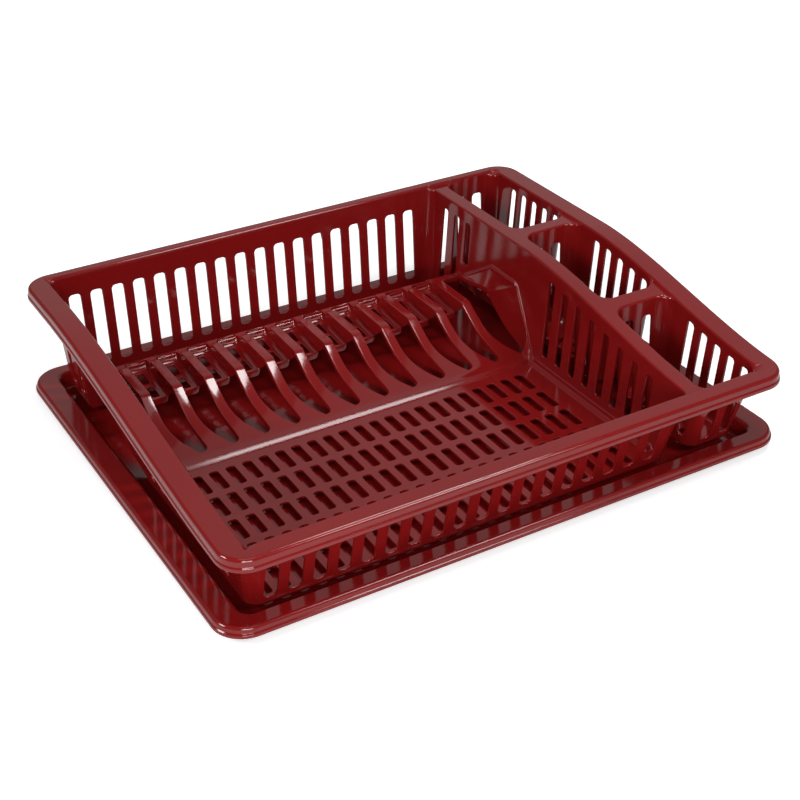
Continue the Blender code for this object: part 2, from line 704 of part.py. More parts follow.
def drip_tray():
    """A shallow tray: stepped lip, rounded edge, flange, leaning wall and flat floor."""
    sheet = Sheet()
    centre = TRAY_SET_BACK
    outer = (-TRAY_LENGTH / 2, TRAY_LENGTH / 2, centre - TRAY_DEPTH / 2, centre + TRAY_DEPTH / 2)
    inset_x, inset_y = TRAY_FLANGE_SIDE, TRAY_FLANGE_FRONT
    inner = (outer[0] + inset_x, outer[1] - inset_x, outer[2] + inset_y, outer[3] - inset_y)
    step = LIP_STEP
    outside = (
        (0, TRAY_LIP_DROP),
        (0, TRAY_LIP_STEP_DROP + step),
        (step, TRAY_LIP_STEP_DROP),
        (step + EDGE_RADIUS * 0.3, EDGE_RADIUS * 0.3),
        (step + EDGE_RADIUS, 0),
    )
    inside_profile = (
        (-EDGE_RADIUS, TRAY_TOP),
        (-EDGE_RADIUS * 0.3, TRAY_TOP - EDGE_RADIUS * 0.3),
        (0, TRAY_TOP - EDGE_RADIUS),
        (TRAY_LEAN, WALL + TRAY_FOOT_RADIUS),
        (TRAY_LEAN + TRAY_FOOT_RADIUS * 0.3, WALL + TRAY_FOOT_RADIUS * 0.3),
        (TRAY_LEAN + TRAY_FOOT_RADIUS, WALL),
    )
    rings = []
    for inset, drop in outside:
        plan = outline(grown(outer, -inset), TRAY_CORNER - inset)
        rings.append(sheet.ring([(x, y, TRAY_TOP - drop) for x, y, _, _ in plan]))
    for inset, z in inside_profile:
        plan = outline(grown(inner, -inset), TRAY_MOUTH_CORNER - inset)
        rings.append(sheet.ring([(x, y, z) for x, y, _, _ in plan]))
    for number in range(1, len(rings)):
        sheet.bridge(rings[number], rings[number - 1])
    sheet.face(rings[-1])
    return sheet.solid("drip_tray")


def plastic(name):
    material = bpy.data.materials.new(name)
    material.use_nodes = True
    shader = material.node_tree.nodes["Principled BSDF"]
    shader.inputs["Base Color"].default_value = RED
    shader.inputs["Roughness"].default_value = ROUGHNESS
    shader.inputs["Metallic"].default_value = 0
    material.diffuse_color = RED
    return material


def finish(body, material):
    """Puts the piece in the object's frame and gives it its plastic."""
    body.location.y = -CENTRE_Y
    body.data.materials.append(material)
    body.data.shade_smooth()
    body.data.set_sharp_from_angle(angle=math.radians(40))


def build():
    for old in list(bpy.data.objects):
        bpy.data.objects.remove(old)
    finish(dish_rack(), plastic("rack plastic"))
    finish(drip_tray(), plastic("tray plastic"))
    for shape in bpy.data.objects:
        if shape.hide_render:
            shape.location.y = -CENTRE_Y


build()
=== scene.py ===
# %% [markdown]
# # A moulded dish rack in its drip tray
# The real thing is two injection mouldings in one deep red, glossy plastic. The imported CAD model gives
# their place and size. Here both get the roundings, the fine curves and the plastic that the eye sees.

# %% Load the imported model
import math

import bmesh
import bpy
import numpy as np
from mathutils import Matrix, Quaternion, Vector
from mathutils.geometry import delaunay_2d_cdt


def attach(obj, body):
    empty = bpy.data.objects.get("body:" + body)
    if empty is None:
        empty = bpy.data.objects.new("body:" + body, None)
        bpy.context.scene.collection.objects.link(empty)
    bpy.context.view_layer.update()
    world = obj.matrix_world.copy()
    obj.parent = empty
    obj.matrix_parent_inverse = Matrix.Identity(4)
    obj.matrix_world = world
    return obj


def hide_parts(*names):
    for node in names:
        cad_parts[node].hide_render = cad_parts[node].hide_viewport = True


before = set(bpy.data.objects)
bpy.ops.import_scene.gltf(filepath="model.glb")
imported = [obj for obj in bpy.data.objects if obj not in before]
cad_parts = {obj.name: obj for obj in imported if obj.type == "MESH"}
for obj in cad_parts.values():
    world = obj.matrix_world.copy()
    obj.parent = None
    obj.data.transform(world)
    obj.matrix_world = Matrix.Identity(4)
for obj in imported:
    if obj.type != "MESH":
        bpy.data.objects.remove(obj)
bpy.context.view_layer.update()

# %% [markdown]
# The camera comes first. It stands in front of the rack, to the left and above, as the photographer did,
# with a lens long enough to keep the rim straight.

# %% Camera
CAMERA_PLACE = (-0.5151, -0.8987, 0.6511)
CAMERA_AIM = (0.4274, 0.7373, -0.522)
CAMERA_ROLL = -0.0106
LENS_MM = 67.53
SENSOR_MM = 36

bpy.ops.object.camera_add(location=CAMERA_PLACE)
camera = bpy.context.object
camera.rotation_mode = "QUATERNION"
turn = Vector(CAMERA_AIM).to_track_quat("-Z", "Y")
camera.rotation_quaternion = turn @ Quaternion((0, 0, 1), CAMERA_ROLL)
camera.data.lens = LENS_MM
camera.data.sensor_width = SENSOR_MM
bpy.context.scene.camera = camera
print("camera at", CAMERA_PLACE)

# %% [markdown]
# ## The sizes of the two mouldings
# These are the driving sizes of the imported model, in metres, with the small radii that only show here.
# Boxes in plan are written as left, right, front and back.

# %% Sizes
WALL = 0.002
FOOT_GAP = 0.0003
RACK_Y = -0.002325
RIM = (-0.236, 0.236, -0.19735, 0.19735)
RIM_CORNER = 0.022
BACK_HEIGHT = 0.10329
FRONT_HEIGHT = 0.072
SWEEP_FRONT_Y = RIM[2]
SWEEP_LENGTH = 0.242
SWEEP_LENGTH_LEFT = 0.335
LIP_DROP = 0.010
LIP_STEP = 0.001
LIP_STEP_DROP = 0.006
EDGE_RADIUS = 0.003
MOUTH_RADIUS = 0.0018
RAIL_WIDTH = 0.014
RAIL_DROP = 0.003
MOUTH_CORNER = 0.008
FOOT_CORNER = 0.010
FOOT_RADIUS = 0.004
DIVIDER_FOOT_RADIUS = 0.0012
OPEN = (RIM[0] + 0.020, RIM[1] - 0.020, RIM[2] + 0.0164, RIM[3] - 0.0114)
BAY_LEFT = OPEN[1] - 0.0535
DIVIDER_X = BAY_LEFT - RAIL_WIDTH
BAY_COUNT = 3
BAY_DEPTH = (OPEN[3] - OPEN[2] - (BAY_COUNT - 1) * RAIL_WIDTH) / BAY_COUNT
LEAN_SIDE, LEAN_FRONT, LEAN_BACK, LEAN_DIVIDER, LEAN_BAY = 0.007, 0.015, 0.005, 0.0065, 0.004
BASE = (OPEN[0] + LEAN_SIDE, DIVIDER_X - LEAN_DIVIDER, OPEN[2] + LEAN_FRONT, OPEN[3] - LEAN_BACK)
FLOOR = 0.0075
LEDGE = FLOOR + 0.003
STEP_RUN = 0.002
ARC_STEPS = 4
CORNER_STEPS = 9
SPOT_MARGIN = 0.0008
print("floor opening in mm:", [round(side * 1000, 1) for side in BASE])

# %% [markdown]
# Blender's operators work on whatever is selected, so three small helpers keep the selection clean: one
# makes a single object active, one adds an object, and one adds a modifier and applies it at once.


# %% Selection helpers
def only(piece):
    """Selects this piece alone and makes it the active one."""
    bpy.ops.object.select_all(action="DESELECT")
    piece.select_set(True)
    bpy.context.view_layer.objects.active = piece


def added(operator, name, **settings):
    """Adds an object with nothing else selected, and names it."""
    bpy.ops.object.select_all(action="DESELECT")
    operator(**settings)
    piece = bpy.context.object
    piece.name = name
    return piece


def apply_modifier(piece, kind, **settings):
    """Adds one modifier with these settings and applies it."""
    only(piece)
    modifier = piece.modifiers.new(kind.lower(), kind)
    for name, value in settings.items():
        setattr(modifier, name, value)
    bpy.ops.object.modifier_apply(modifier=modifier.name)


def between(start, end, share):
    return start + (end - start) * share


def clamped(share):
    return min(1, max(0, share))


def smooth(share):
    share = clamped(share)
    return share * share * (3 - 2 * share)


# %% [markdown]
# ## The rack's shell
# The rack is one skin, 2 mm thick, that runs over the rim, down into four pockets and over a row of
# hollow ribs. Extruding a primitive can't give that, because four mouths share one curved flange. So the
# upper surface is laid out as rings of points that are bridged, and the Solidify modifier gives the wall.
#
# The flange is level at the back and falls to the front in an S, which is longer on the left side. Between
# the mouths it steps down by the height of its own rounded edge, so the step is that edge, carried straight
# across each rail's end.


# %% Heights of the flange and the rails
def rim_height(y, x=RIM[1]):
    """Height of the flange. The S is longest on the left side, and shortest from the divider on."""
    length = between(SWEEP_LENGTH_LEFT, SWEEP_LENGTH, min(1, (x - RIM[0]) / (DIVIDER_X - RIM[0])))
    return between(FRONT_HEIGHT, BACK_HEIGHT, smooth((y - SWEEP_FRONT_Y) / length))


def depth_in_mouth(x, y):
    """How far a spot lies inside the line where the flange's rounded edge starts."""
    return min(x - OPEN[0], OPEN[1] - x, y - OPEN[2], OPEN[3] - y) + MOUTH_RADIUS


def rounding(depth):
    """How far a quarter-round edge has fallen at this depth."""
    depth = min(MOUTH_RADIUS, max(0, depth))
    return MOUTH_RADIUS - math.sqrt(MOUTH_RADIUS**2 - depth**2)


def flange_height(x, y):
    return rim_height(y, x) - rounding(depth_in_mouth(x, y)) * RAIL_DROP / MOUTH_RADIUS


def edge_height(x, y, out):
    """Height of a mouth's rounded edge, at a spot that is this far outside the mouth."""
    on_rail = smooth((depth_in_mouth(x, y) - MOUTH_RADIUS) / MOUTH_RADIUS)
    return flange_height(x, y) - on_rail * rounding(MOUTH_RADIUS - out)


def grown(rectangle, size):
    left, right, front, back = rectangle
    return (left - size, right + size, front - size, back + size)


def outline(rectangle, radius, stations=()):
    """A rounded rectangle, anticlockwise, with extra points on both sides.

    Each point is given as x, y, outward x and outward y."""
    left, right, front, back = rectangle
    corners = (
        (left + radius, front + radius, 180),
        (right - radius, front + radius, 270),
        (right - radius, back - radius, 0),
        (left + radius, back - radius, 90),
    )
    points = []
    for number, (x, y, start) in enumerate(corners):
        for step in range(CORNER_STEPS + 1):
            angle = math.radians(start + 90 * step / CORNER_STEPS)
            side_x, side_y = math.cos(angle), math.sin(angle)
            points.append((x + radius * side_x, y + radius * side_y, side_x, side_y))
        if number == 1:
            points += [(right, y, 1, 0) for y in stations]
        if number == 3:
            points += [(left, y, -1, 0) for y in reversed(stations)]
    return points


def sweep_stations(front, back, pitch=0.008):
    """Evenly spaced places along a side, close enough for the S-curve to look smooth."""
    count = max(1, round((back - front) / pitch))
    return [between(front, back, step / count) for step in range(1, count)]


flange_mm = [round(rim_height(y) * 1000, 1) for y in (RIM[2], RIM[3])]
print("flange in mm, at the front and the back:", flange_mm)

# %% [markdown]
# A small class holds the growing surface. Rings are bridged by quads, and what lies level between rings
# is filled by a Delaunay triangulation, which takes holes of any shape and extra spots inside.


# %% The open sheet
class Sheet:
    def __init__(self):
        self.mesh = bmesh.new()

    def ring(self, points):
        return [self.mesh.verts.new(point) for point in points]

    def face(self, corners):
        """A face over these corners, in order, leaving out repeats."""
        kept = [corner for number, corner in enumerate(corners) if corner is not corners[number - 1]]
        if len(kept) > 2:
            self.mesh.faces.new(kept)

    def bridge(self, upper, lower):
        for number in range(len(upper)):
            after = (number + 1) % len(upper)
            self.face([upper[number], lower[number], lower[after], upper[after]])

    def fill(self, border, holes=(), spots=(), height=None):
        """Triangles inside the border and outside the holes, over the free spots as well."""
        rings = [list(border), *[list(hole) for hole in holes]]
        corners = [corner for ring in rings for corner in ring]
        number = {corner: index for index, corner in enumerate(corners)}
        edges = []
        for ring in rings:
            edges += [(number[corner], number[ring[index - 1]]) for index, corner in enumerate(ring)]
        polygons = [np.array([corner.co.xy for corner in ring]) for ring in rings]
        free = [spot for spot in spots if clear_of(spot, polygons)]
        corners += self.ring([(x, y, height(x, y)) for x, y in free])
        places = [corner.co.xy for corner in corners]
        _, _, triangles, _, _, _ = delaunay_2d_cdt(places, edges, [], 0, WALL * 1e-6)
        for triangle in triangles:
            middle = np.mean([places[index] for index in triangle], axis=0)
            if inside(middle, polygons[0]) and not any(inside(middle, hole) for hole in polygons[1:]):
                self.face([corners[index] for index in triangle])

    def object(self, name):
        """The surface as an object whose faces look up and inward."""
        bmesh.ops.remove_doubles(self.mesh, verts=self.mesh.verts, dist=WALL * 1e-3)
        bmesh.ops.recalc_face_normals(self.mesh, faces=self.mesh.faces)
        top = max(self.mesh.faces, key=lambda face: face.calc_center_median().z)
        if top.normal.z < 0:
            bmesh.ops.reverse_faces(self.mesh, faces=self.mesh.faces)
        data = bpy.data.meshes.new(name)
        self.mesh.to_mesh(data)
        self.mesh.free()
        piece = bpy.data.objects.new(name, data)
        bpy.context.scene.collection.objects.link(piece)
        return piece


def inside(spot, polygon):
    """Whether a plan point lies inside a polygon."""
    x1, y1 = polygon.T
    x2, y2 = np.roll(polygon, 1, axis=0).T
    crossing = (y1 > spot[1]) != (y2 > spot[1])
    rise = np.where(y1 == y2, 1, y2 - y1)
    return bool(np.sum(crossing & (spot[0] < x1 + (spot[1] - y1) * (x2 - x1) / rise)) % 2)


def clear_of(spot, polygons, margin=SPOT_MARGIN):
    """Whether a free spot is inside the border, outside the holes and clear of all their edges."""
    if not inside(spot, polygons[0]) or any(inside(spot, hole) for hole in polygons[1:]):
        return False
    for polygon in polygons:
        start, end = polygon, np.roll(polygon, 1, axis=0)
        along = end - start
        squared = np.maximum(np.sum(along**2, axis=1), 1e-12)
        share = np.clip(np.sum((spot - start) * along, axis=1) / squared, 0, 1)
        if np.min(np.sum((start + share[:, None] * along - spot) ** 2, axis=1)) < margin**2:
            return False
    return True


# %% [markdown]
# The rim's lip is two bands, and the upper one is set in by a millimetre from the lower one. Each pocket
# starts with a quarter-round edge, leans inward as it goes down, so that the mould can be drawn, and ends
# in a rounded foot.


# %% Lip and pockets
def arc(start_angle, end_angle, steps=ARC_STEPS):
    return [math.radians(between(start_angle, end_angle, step / steps)) for step in range(steps + 1)]


def rim_rings(sheet):
    """The lip and the rim's rounded edge. Returns the ring where the flat flange starts."""
    profile = [(0, LIP_DROP), (0, LIP_STEP_DROP + LIP_STEP), (LIP_STEP, LIP_STEP_DROP)]
    for angle in arc(0, 90):
        inset = LIP_STEP + EDGE_RADIUS * (1 - math.cos(angle))
        profile.append((inset, EDGE_RADIUS * (1 - math.sin(angle))))
    stations = sweep_stations(RIM[2] + RIM_CORNER, RIM[3] - RIM_CORNER)
    ring = None
    for inset, drop in profile:
        plan = outline(grown(RIM, -inset), RIM_CORNER - inset, stations)
        lower = ring
        ring = sheet.ring([(x, y, rim_height(y, x) - drop) for x, y, _, _ in plan])
        if lower:
            sheet.bridge(ring, lower)
    return ring


def pocket(sheet, mouth, base, stations, corner, floor_at, foot_radius_at):
    """One mouth's rounded edge, its leaning walls and rounded foot. Returns its first and its last ring."""
    upper = outline(mouth, corner, stations)
    lower = outline(base, FOOT_CORNER, stations)
    rings = []
    for angle in arc(0, 90):
        out = MOUTH_RADIUS * (1 - math.sin(angle))
        row = [(x + side_x * out, y + side_y * out) for x, y, side_x, side_y in upper]
        rings.append(sheet.ring([(x, y, edge_height(x, y, out)) for x, y in row]))
    tops = [corner.co.z for corner in rings[-1]]
    for angle in arc(0, 90):
        row = []
        for (x1, y1, _, _), (x2, y2, side_x, side_y), top in zip(upper, lower, tops):
            radius = foot_radius_at(x2, y2)
            z = floor_at(x2, y2) + radius * (1 - math.sin(angle))
            share = (top - z) / (top - FLOOR)
            inset = radius * (1 - math.cos(angle))
            x, y = between(x1, x2, share) - side_x * inset, between(y1, y2, share) - side_y * inset
            row.append((x, y, z))
        rings.append(sheet.ring(row))
    for number in range(1, len(rings)):
        sheet.bridge(rings[number - 1], rings[number])
    return rings[0], rings[-1]


# %% [markdown]
# ## The plate section
# Each plate stands between two hollow ribs. A rib is level on top, bends at its front end and sweeps down
# to the deck, and the skin between two ribs is cut away in a crescent. Behind the crescents the skin dips
# into a short valley with two drain slots. The last rib widens into a gusset that climbs the divider.

# %% Sizes of the plate section
RIB_TOP = 0.040
RIB_PITCH = 0.0272
RIB_SHIFT = -0.0042
RIB_WIDTH = 0.0084
RIB_FRONT_Y = 0.079
RIB_BEND = 0.003
RIB_BACK_Y = 0.124
DECK_FRONT_Y = 0.009
SLOPE_FOOT_Y = 0.016
TIP_Y = 0.0198
TIP_DEPTH = 0.0048
TIP_OVERLAP = 0.0032
BEND_Y = 0.058
FLARE = 0.0158
FLARE_CURVE = 1.9
SLOPE_CURVE_SHARE = 0.55
LIP_Y = 0.088
VALLEY_END_Y = 0.1295
PLATFORM_BACK_Y = 0.134
PLATFORM = 0.0385
VALLEY_LOW = 0.0265
VALLEY_RISE = 0.003
VALLEY_FILLET = 0.0035
SKIRT = 0.0038
LIP_SKIRT = 0.006
RIB_DRAFT = 0.0004
GAP_COUNT = int((BASE[1] - BASE[0] - RIB_SHIFT) / RIB_PITCH)
PLATFORM_LOW = 0.0370
GUSSET_TOP = 0.0665
GUSSET_EDGE = 0.0455
GUSSET_FRONT_Y = 0.043
GUSSET_CREASE_Y = 0.077
GUSSET_BACK_Y = 0.082
GUSSET_CURB = 0.0032
GUSSET_CURB_HEIGHT = 0.0007
GUSSET_FACE = (0.5, 0.94)
GUSSET_HOLLOW = ((0.05, 0.0001), (0.5, 0.0006), (0.95, 0.0001))
GUSSET_CURB_SHARES = (0.3, 0.7)
GUSSET_OUTWARD = Vector((-1, 0, 0.3))
SLOPE_ROW_PITCH = 0.0035
VALLEY_ROW_PITCH = 0.009
print(GAP_COUNT, "gaps for plates,", round((RIB_PITCH - RIB_WIDTH) * 1000, 2), "mm wide")


# %% Heights along the plate section
def slope_share(y):
    share = clamped((y - SLOPE_FOOT_Y) / (RIB_FRONT_Y - SLOPE_FOOT_Y))
    return (1 - SLOPE_CURVE_SHARE) * share + SLOPE_CURVE_SHARE * share * share


def rounded_bend(y, front, top, rise):
    """A slope that meets a level top in a rounded bend instead of a corner."""
    edge = clamped((y - front + RIB_BEND) / (2 * RIB_BEND))
    return top - rise * (1 - edge) ** 2


def rib_top_height(y):
    """Upper surface of a rib, the deck and the platform."""
    if y > RIB_BACK_Y:
        fall = min(1, (y - RIB_BACK_Y) / (RIB_BEND / 2))
        curl = max(0, (y - RIB_BACK_Y - RIB_BEND / 2) / (PLATFORM_BACK_Y - RIB_BACK_Y - RIB_BEND / 2)) ** 3
        level = between(RIB_TOP, PLATFORM_LOW, 1 - math.sqrt(1 - fall * fall))
        return level + (PLATFORM - PLATFORM_LOW) * curl
    if y > RIB_FRONT_Y - RIB_BEND:
        at_bend = between(LEDGE, RIB_TOP, slope_share(RIB_FRONT_Y - RIB_BEND))
        return rounded_bend(y, RIB_FRONT_Y, RIB_TOP, RIB_TOP - at_bend)
    return between(LEDGE, RIB_TOP, slope_share(y))


def valley_height(y):
    """Floor of the valleys: a gentle rise, then a quick curve up to the platform."""
    low_end = VALLEY_LOW + VALLEY_RISE
    if y > VALLEY_END_Y:
        share = min(1, (y - VALLEY_END_Y) / (PLATFORM_BACK_Y - STEP_RUN / 2 - VALLEY_END_Y))
        return between(low_end, rib_top_height(y), 1 - math.sqrt(1 - share * share))
    return between(VALLEY_LOW, low_end, (y - LIP_Y) / (VALLEY_END_Y - LIP_Y))


def skirt_height(y):
    """Lower edge of the rib's sides beside a crescent."""
    share = smooth((y - RIB_FRONT_Y + RIB_BEND) / (LIP_Y - RIB_FRONT_Y + RIB_BEND))
    return between(rib_top_height(y) - SKIRT, VALLEY_LOW, share)


def gusset_edge_height(y):
    """Left edge of the gusset: as a rib, but higher at its front end."""
    share = (rib_top_height(y) - LEDGE) / (RIB_TOP - LEDGE)
    lift = smooth((RIB_BACK_Y - y) / (RIB_BACK_Y - RIB_FRONT_Y)) * (GUSSET_EDGE - RIB_TOP)
    return rib_top_height(y) + lift * share


def gusset_wall_height(y):
    """The gusset's line on the divider."""
    if y > RIB_BACK_Y:
        return max(PLATFORM, rib_top_height(y))
    if y > GUSSET_BACK_Y:
        return between(GUSSET_TOP, RIB_TOP, (y - GUSSET_BACK_Y) / (RIB_BACK_Y - GUSSET_BACK_Y))
    if y > GUSSET_FRONT_Y:
        return GUSSET_TOP
    return between(LEDGE, GUSSET_TOP, (y - DECK_FRONT_Y) / (GUSSET_FRONT_Y - DECK_FRONT_Y))


def crescent(y):
    """How far the two edges of a crescent have moved to the right of the ribs' straight sides."""
    share = clamped((BEND_Y - y) / (BEND_Y - TIP_Y))
    flare = FLARE * share**FLARE_CURVE
    near_tip = clamped((TIP_Y + TIP_DEPTH - y) / TIP_DEPTH)
    meeting = FLARE + RIB_WIDTH - RIB_PITCH
    sway = TIP_OVERLAP * smooth(share)
    return flare, between(meeting, sway, math.sqrt(1 - near_tip * near_tip))


def plate_rows():
    """Places from front to back where the plate section gets a row of points."""
    tip = [TIP_Y + TIP_DEPTH * (1 - math.cos(angle)) for angle in arc(0, 90, 7)]
    slope = sweep_stations(tip[-1], RIB_FRONT_Y - RIB_BEND, SLOPE_ROW_PITCH)
    bend = [RIB_FRONT_Y + RIB_BEND * (step / 3 - 1) for step in range(7)]
    valley = [LIP_Y, *sweep_stations(LIP_Y, RIB_BACK_Y, VALLEY_ROW_PITCH), RIB_BACK_Y]
    back = [RIB_BACK_Y + RIB_BEND / 2 * share for share in (0.5, 0.85, 1)]
    last = PLATFORM_BACK_Y - STEP_RUN / 2
    curl = [between(VALLEY_END_Y, last, share) for share in (0, 0.35, 0.65, 0.85, 0.95, 1)]
    rows = [DECK_FRONT_Y, (DECK_FRONT_Y + SLOPE_FOOT_Y) / 2, SLOPE_FOOT_Y]
    return [*rows, *tip, *slope, *bend, *valley, *back, *curl, PLATFORM_BACK_Y, PLATFORM_BACK_Y + STEP_RUN]


print(len(plate_rows()), "rows of points from the deck to the platform")

# %% [markdown]
# The section is a grid: one row of points for each place from front to back, and in each row the ribs,
# the valleys between them and the gusset. Where a row meets a crescent, its points bound the opening.


# %% The plate section as a grid
def gap_edges(number, y):
    """Left and right edge of one gap: the right side of a rib and the left side of the next."""
    flare, sway = crescent(y)
    right = BASE[0] + RIB_SHIFT + (number + 1) * RIB_PITCH
    left = right - RIB_PITCH + RIB_WIDTH + flare
    if y <= TIP_Y:
        return left, left
    return left, right + sway


def valley_row(sheet, left, right, y):
    """The U-shaped row across one valley, from the foot of one rib's side to the foot of the next."""
    floor = valley_height(y)
    radius = max(0, min(VALLEY_FILLET, PLATFORM - floor))
    points = []
    for side, inward, angles in ((left, 1, arc(0, 90, 3)), (right, -1, arc(90, 0, 3))):
        for angle in angles:
            x = side + inward * (VALLEY_FILLET * (1 - math.cos(angle)))
            points.append((x, y, floor + radius * (1 - math.sin(angle))))
    return sheet.ring(points)


def gusset_columns(y, edge, wall):
    """One row across the gusset: the front face up to its crease, the hollow panel and the curb."""
    at_curb = 1 - GUSSET_CURB / max(wall.z - edge.z, GUSSET_CURB)
    along = clamped((GUSSET_CREASE_Y - y) / (GUSSET_CREASE_Y - GUSSET_FRONT_Y))
    crease = edge.lerp(wall, along * at_curb)
    if GUSSET_FRONT_Y < y < GUSSET_CREASE_Y:
        low, front_low = gusset_edge_height(GUSSET_CREASE_Y), gusset_edge_height(GUSSET_FRONT_Y)
        high = between(front_low, GUSSET_TOP, 1 - GUSSET_CURB / (GUSSET_TOP - front_low))
        crease.z = between(low, high, along)
    foot = crease.lerp(wall, 1 - GUSSET_CURB / max(wall.z - crease.z, GUSSET_CURB))
    fade = clamped((foot.z - crease.z) / (3 * GUSSET_CURB))
    raised = GUSSET_CURB_HEIGHT * clamped((wall.z - edge.z) / (2 * GUSSET_CURB))
    panel = [crease.lerp(foot, share) - GUSSET_OUTWARD * depth * fade for share, depth in GUSSET_HOLLOW]
    curb = [foot.lerp(wall, share) + GUSSET_OUTWARD * raised for share in GUSSET_CURB_SHARES]
    face = [edge.lerp(crease, share) for share in GUSSET_FACE]
    return [*face, crease, *panel, foot, *curb]


def plate_row(sheet, y, left_foot, right_foot):
    """All the points of one row: the ribs' upper edges, their lower edges and the valleys."""
    gaps, uppers = [], [left_foot]
    last = GAP_COUNT - 1
    top = FLOOR if y > PLATFORM_BACK_Y + STEP_RUN / 2 else rib_top_height(y)
    for number in range(GAP_COUNT):
        left, right = gap_edges(number, y)
        high = top
        if number == last and TIP_Y < y < PLATFORM_BACK_Y:
            high = gusset_edge_height(y)
        upper_left = sheet.mesh.verts.new((left, y, top))
        upper_right = upper_left if left == right else sheet.mesh.verts.new((right, y, high))
        gap = {"upper": (upper_left, upper_right)}
        if TIP_Y < y <= (RIB_BACK_Y if number == last else LIP_Y):
            low = top - SKIRT if number == last else skirt_height(y)
            lower = [(left + RIB_DRAFT, y, low), (right - RIB_DRAFT, y, low + high - top)]
            gap["skirt"] = sheet.ring(lower)
        if LIP_Y <= y < PLATFORM_BACK_Y and number < last:
            gap["valley"] = valley_row(sheet, left + RIB_DRAFT, right - RIB_DRAFT, y)
        uppers += [upper_left, upper_right]
        gaps.append(gap)
    gusset = sheet.ring(gusset_columns(y, uppers[-1].co, right_foot.co))
    return {"y": y, "uppers": [*uppers, *gusset, right_foot], "gaps": gaps}


def join_rows(sheet, near, far):
    """The faces between two rows."""
    for number in range(len(near["uppers"]) - 1):
        spans_gap = number % 2 == 1 and number < 2 * GAP_COUNT
        opening_end = RIB_BACK_Y if number == 2 * GAP_COUNT - 1 else PLATFORM_BACK_Y
        if spans_gap and TIP_Y <= near["y"] < opening_end:
            continue
        pair, other = near["uppers"][number : number + 2], far["uppers"][number : number + 2]
        sheet.face([pair[0], pair[1], other[1], other[0]])
    for gap, beyond in zip(near["gaps"], far["gaps"]):
        if "valley" in gap:
            join_valley(sheet, gap, beyond, near["y"])
        elif "skirt" in beyond:
            join_skirt(sheet, gap, beyond)
        elif "skirt" in gap:
            sheet.face([*gap["skirt"], gap["upper"][1], gap["upper"][0]])


def join_skirt(sheet, near, far):
    """The two sides of a crescent. At the tip both start from one point."""
    for side in (0, 1):
        lower = near["skirt"][side] if "skirt" in near else None
        ring = [near["upper"][side], far["upper"][side]]
        if "valley" in far:
            ring.append(far["valley"][-side])
        ring.append(far["skirt"][side])
        if lower:
            ring.append(lower)
        sheet.face(ring)


def join_valley(sheet, near, far, y):
    """The two sides and the floor of a valley, and its lip at the front end."""
    if "valley" in far:
        row, beyond = near["valley"], far["valley"]
        for side in (0, 1):
            sheet.face([near["upper"][side], far["upper"][side], beyond[-side], row[-side]])
        for number in range(len(row) - 1):
            sheet.face([row[number], row[number + 1], beyond[number + 1], beyond[number]])
    else:
        sheet.face([near["upper"][0], *near["valley"], *near["upper"][:0:-1], *far["upper"][::-1]])
    if y == LIP_Y:
        hang = [near["skirt"][0]]
        for corner in near["valley"][1:-1]:
            hang.append(sheet.mesh.verts.new((corner.co.x, y, corner.co.z - LIP_SKIRT)))
        hang.append(near["skirt"][1])
        for number in range(len(hang) - 1):
            row = near["valley"]
            sheet.face([row[number], hang[number], hang[number + 1], row[number + 1]])


def plate_section(sheet, left_foot, right_foot):
    """The whole section. Returns its front row and its back row of points."""
    rows = plate_rows()
    grid = [plate_row(sheet, y, left, right) for y, left, right in zip(rows, left_foot, right_foot)]
    for near, far in zip(grid, grid[1:]):
        join_rows(sheet, near, far)
    return grid[0]["uppers"], grid[-1]["uppers"]


# %% [markdown]
# The main pocket's foot follows the plate section on both sides, so its rings get points at the same
# rows. In front of the deck the floor lies a step lower, and along the divider the step turns the corner.


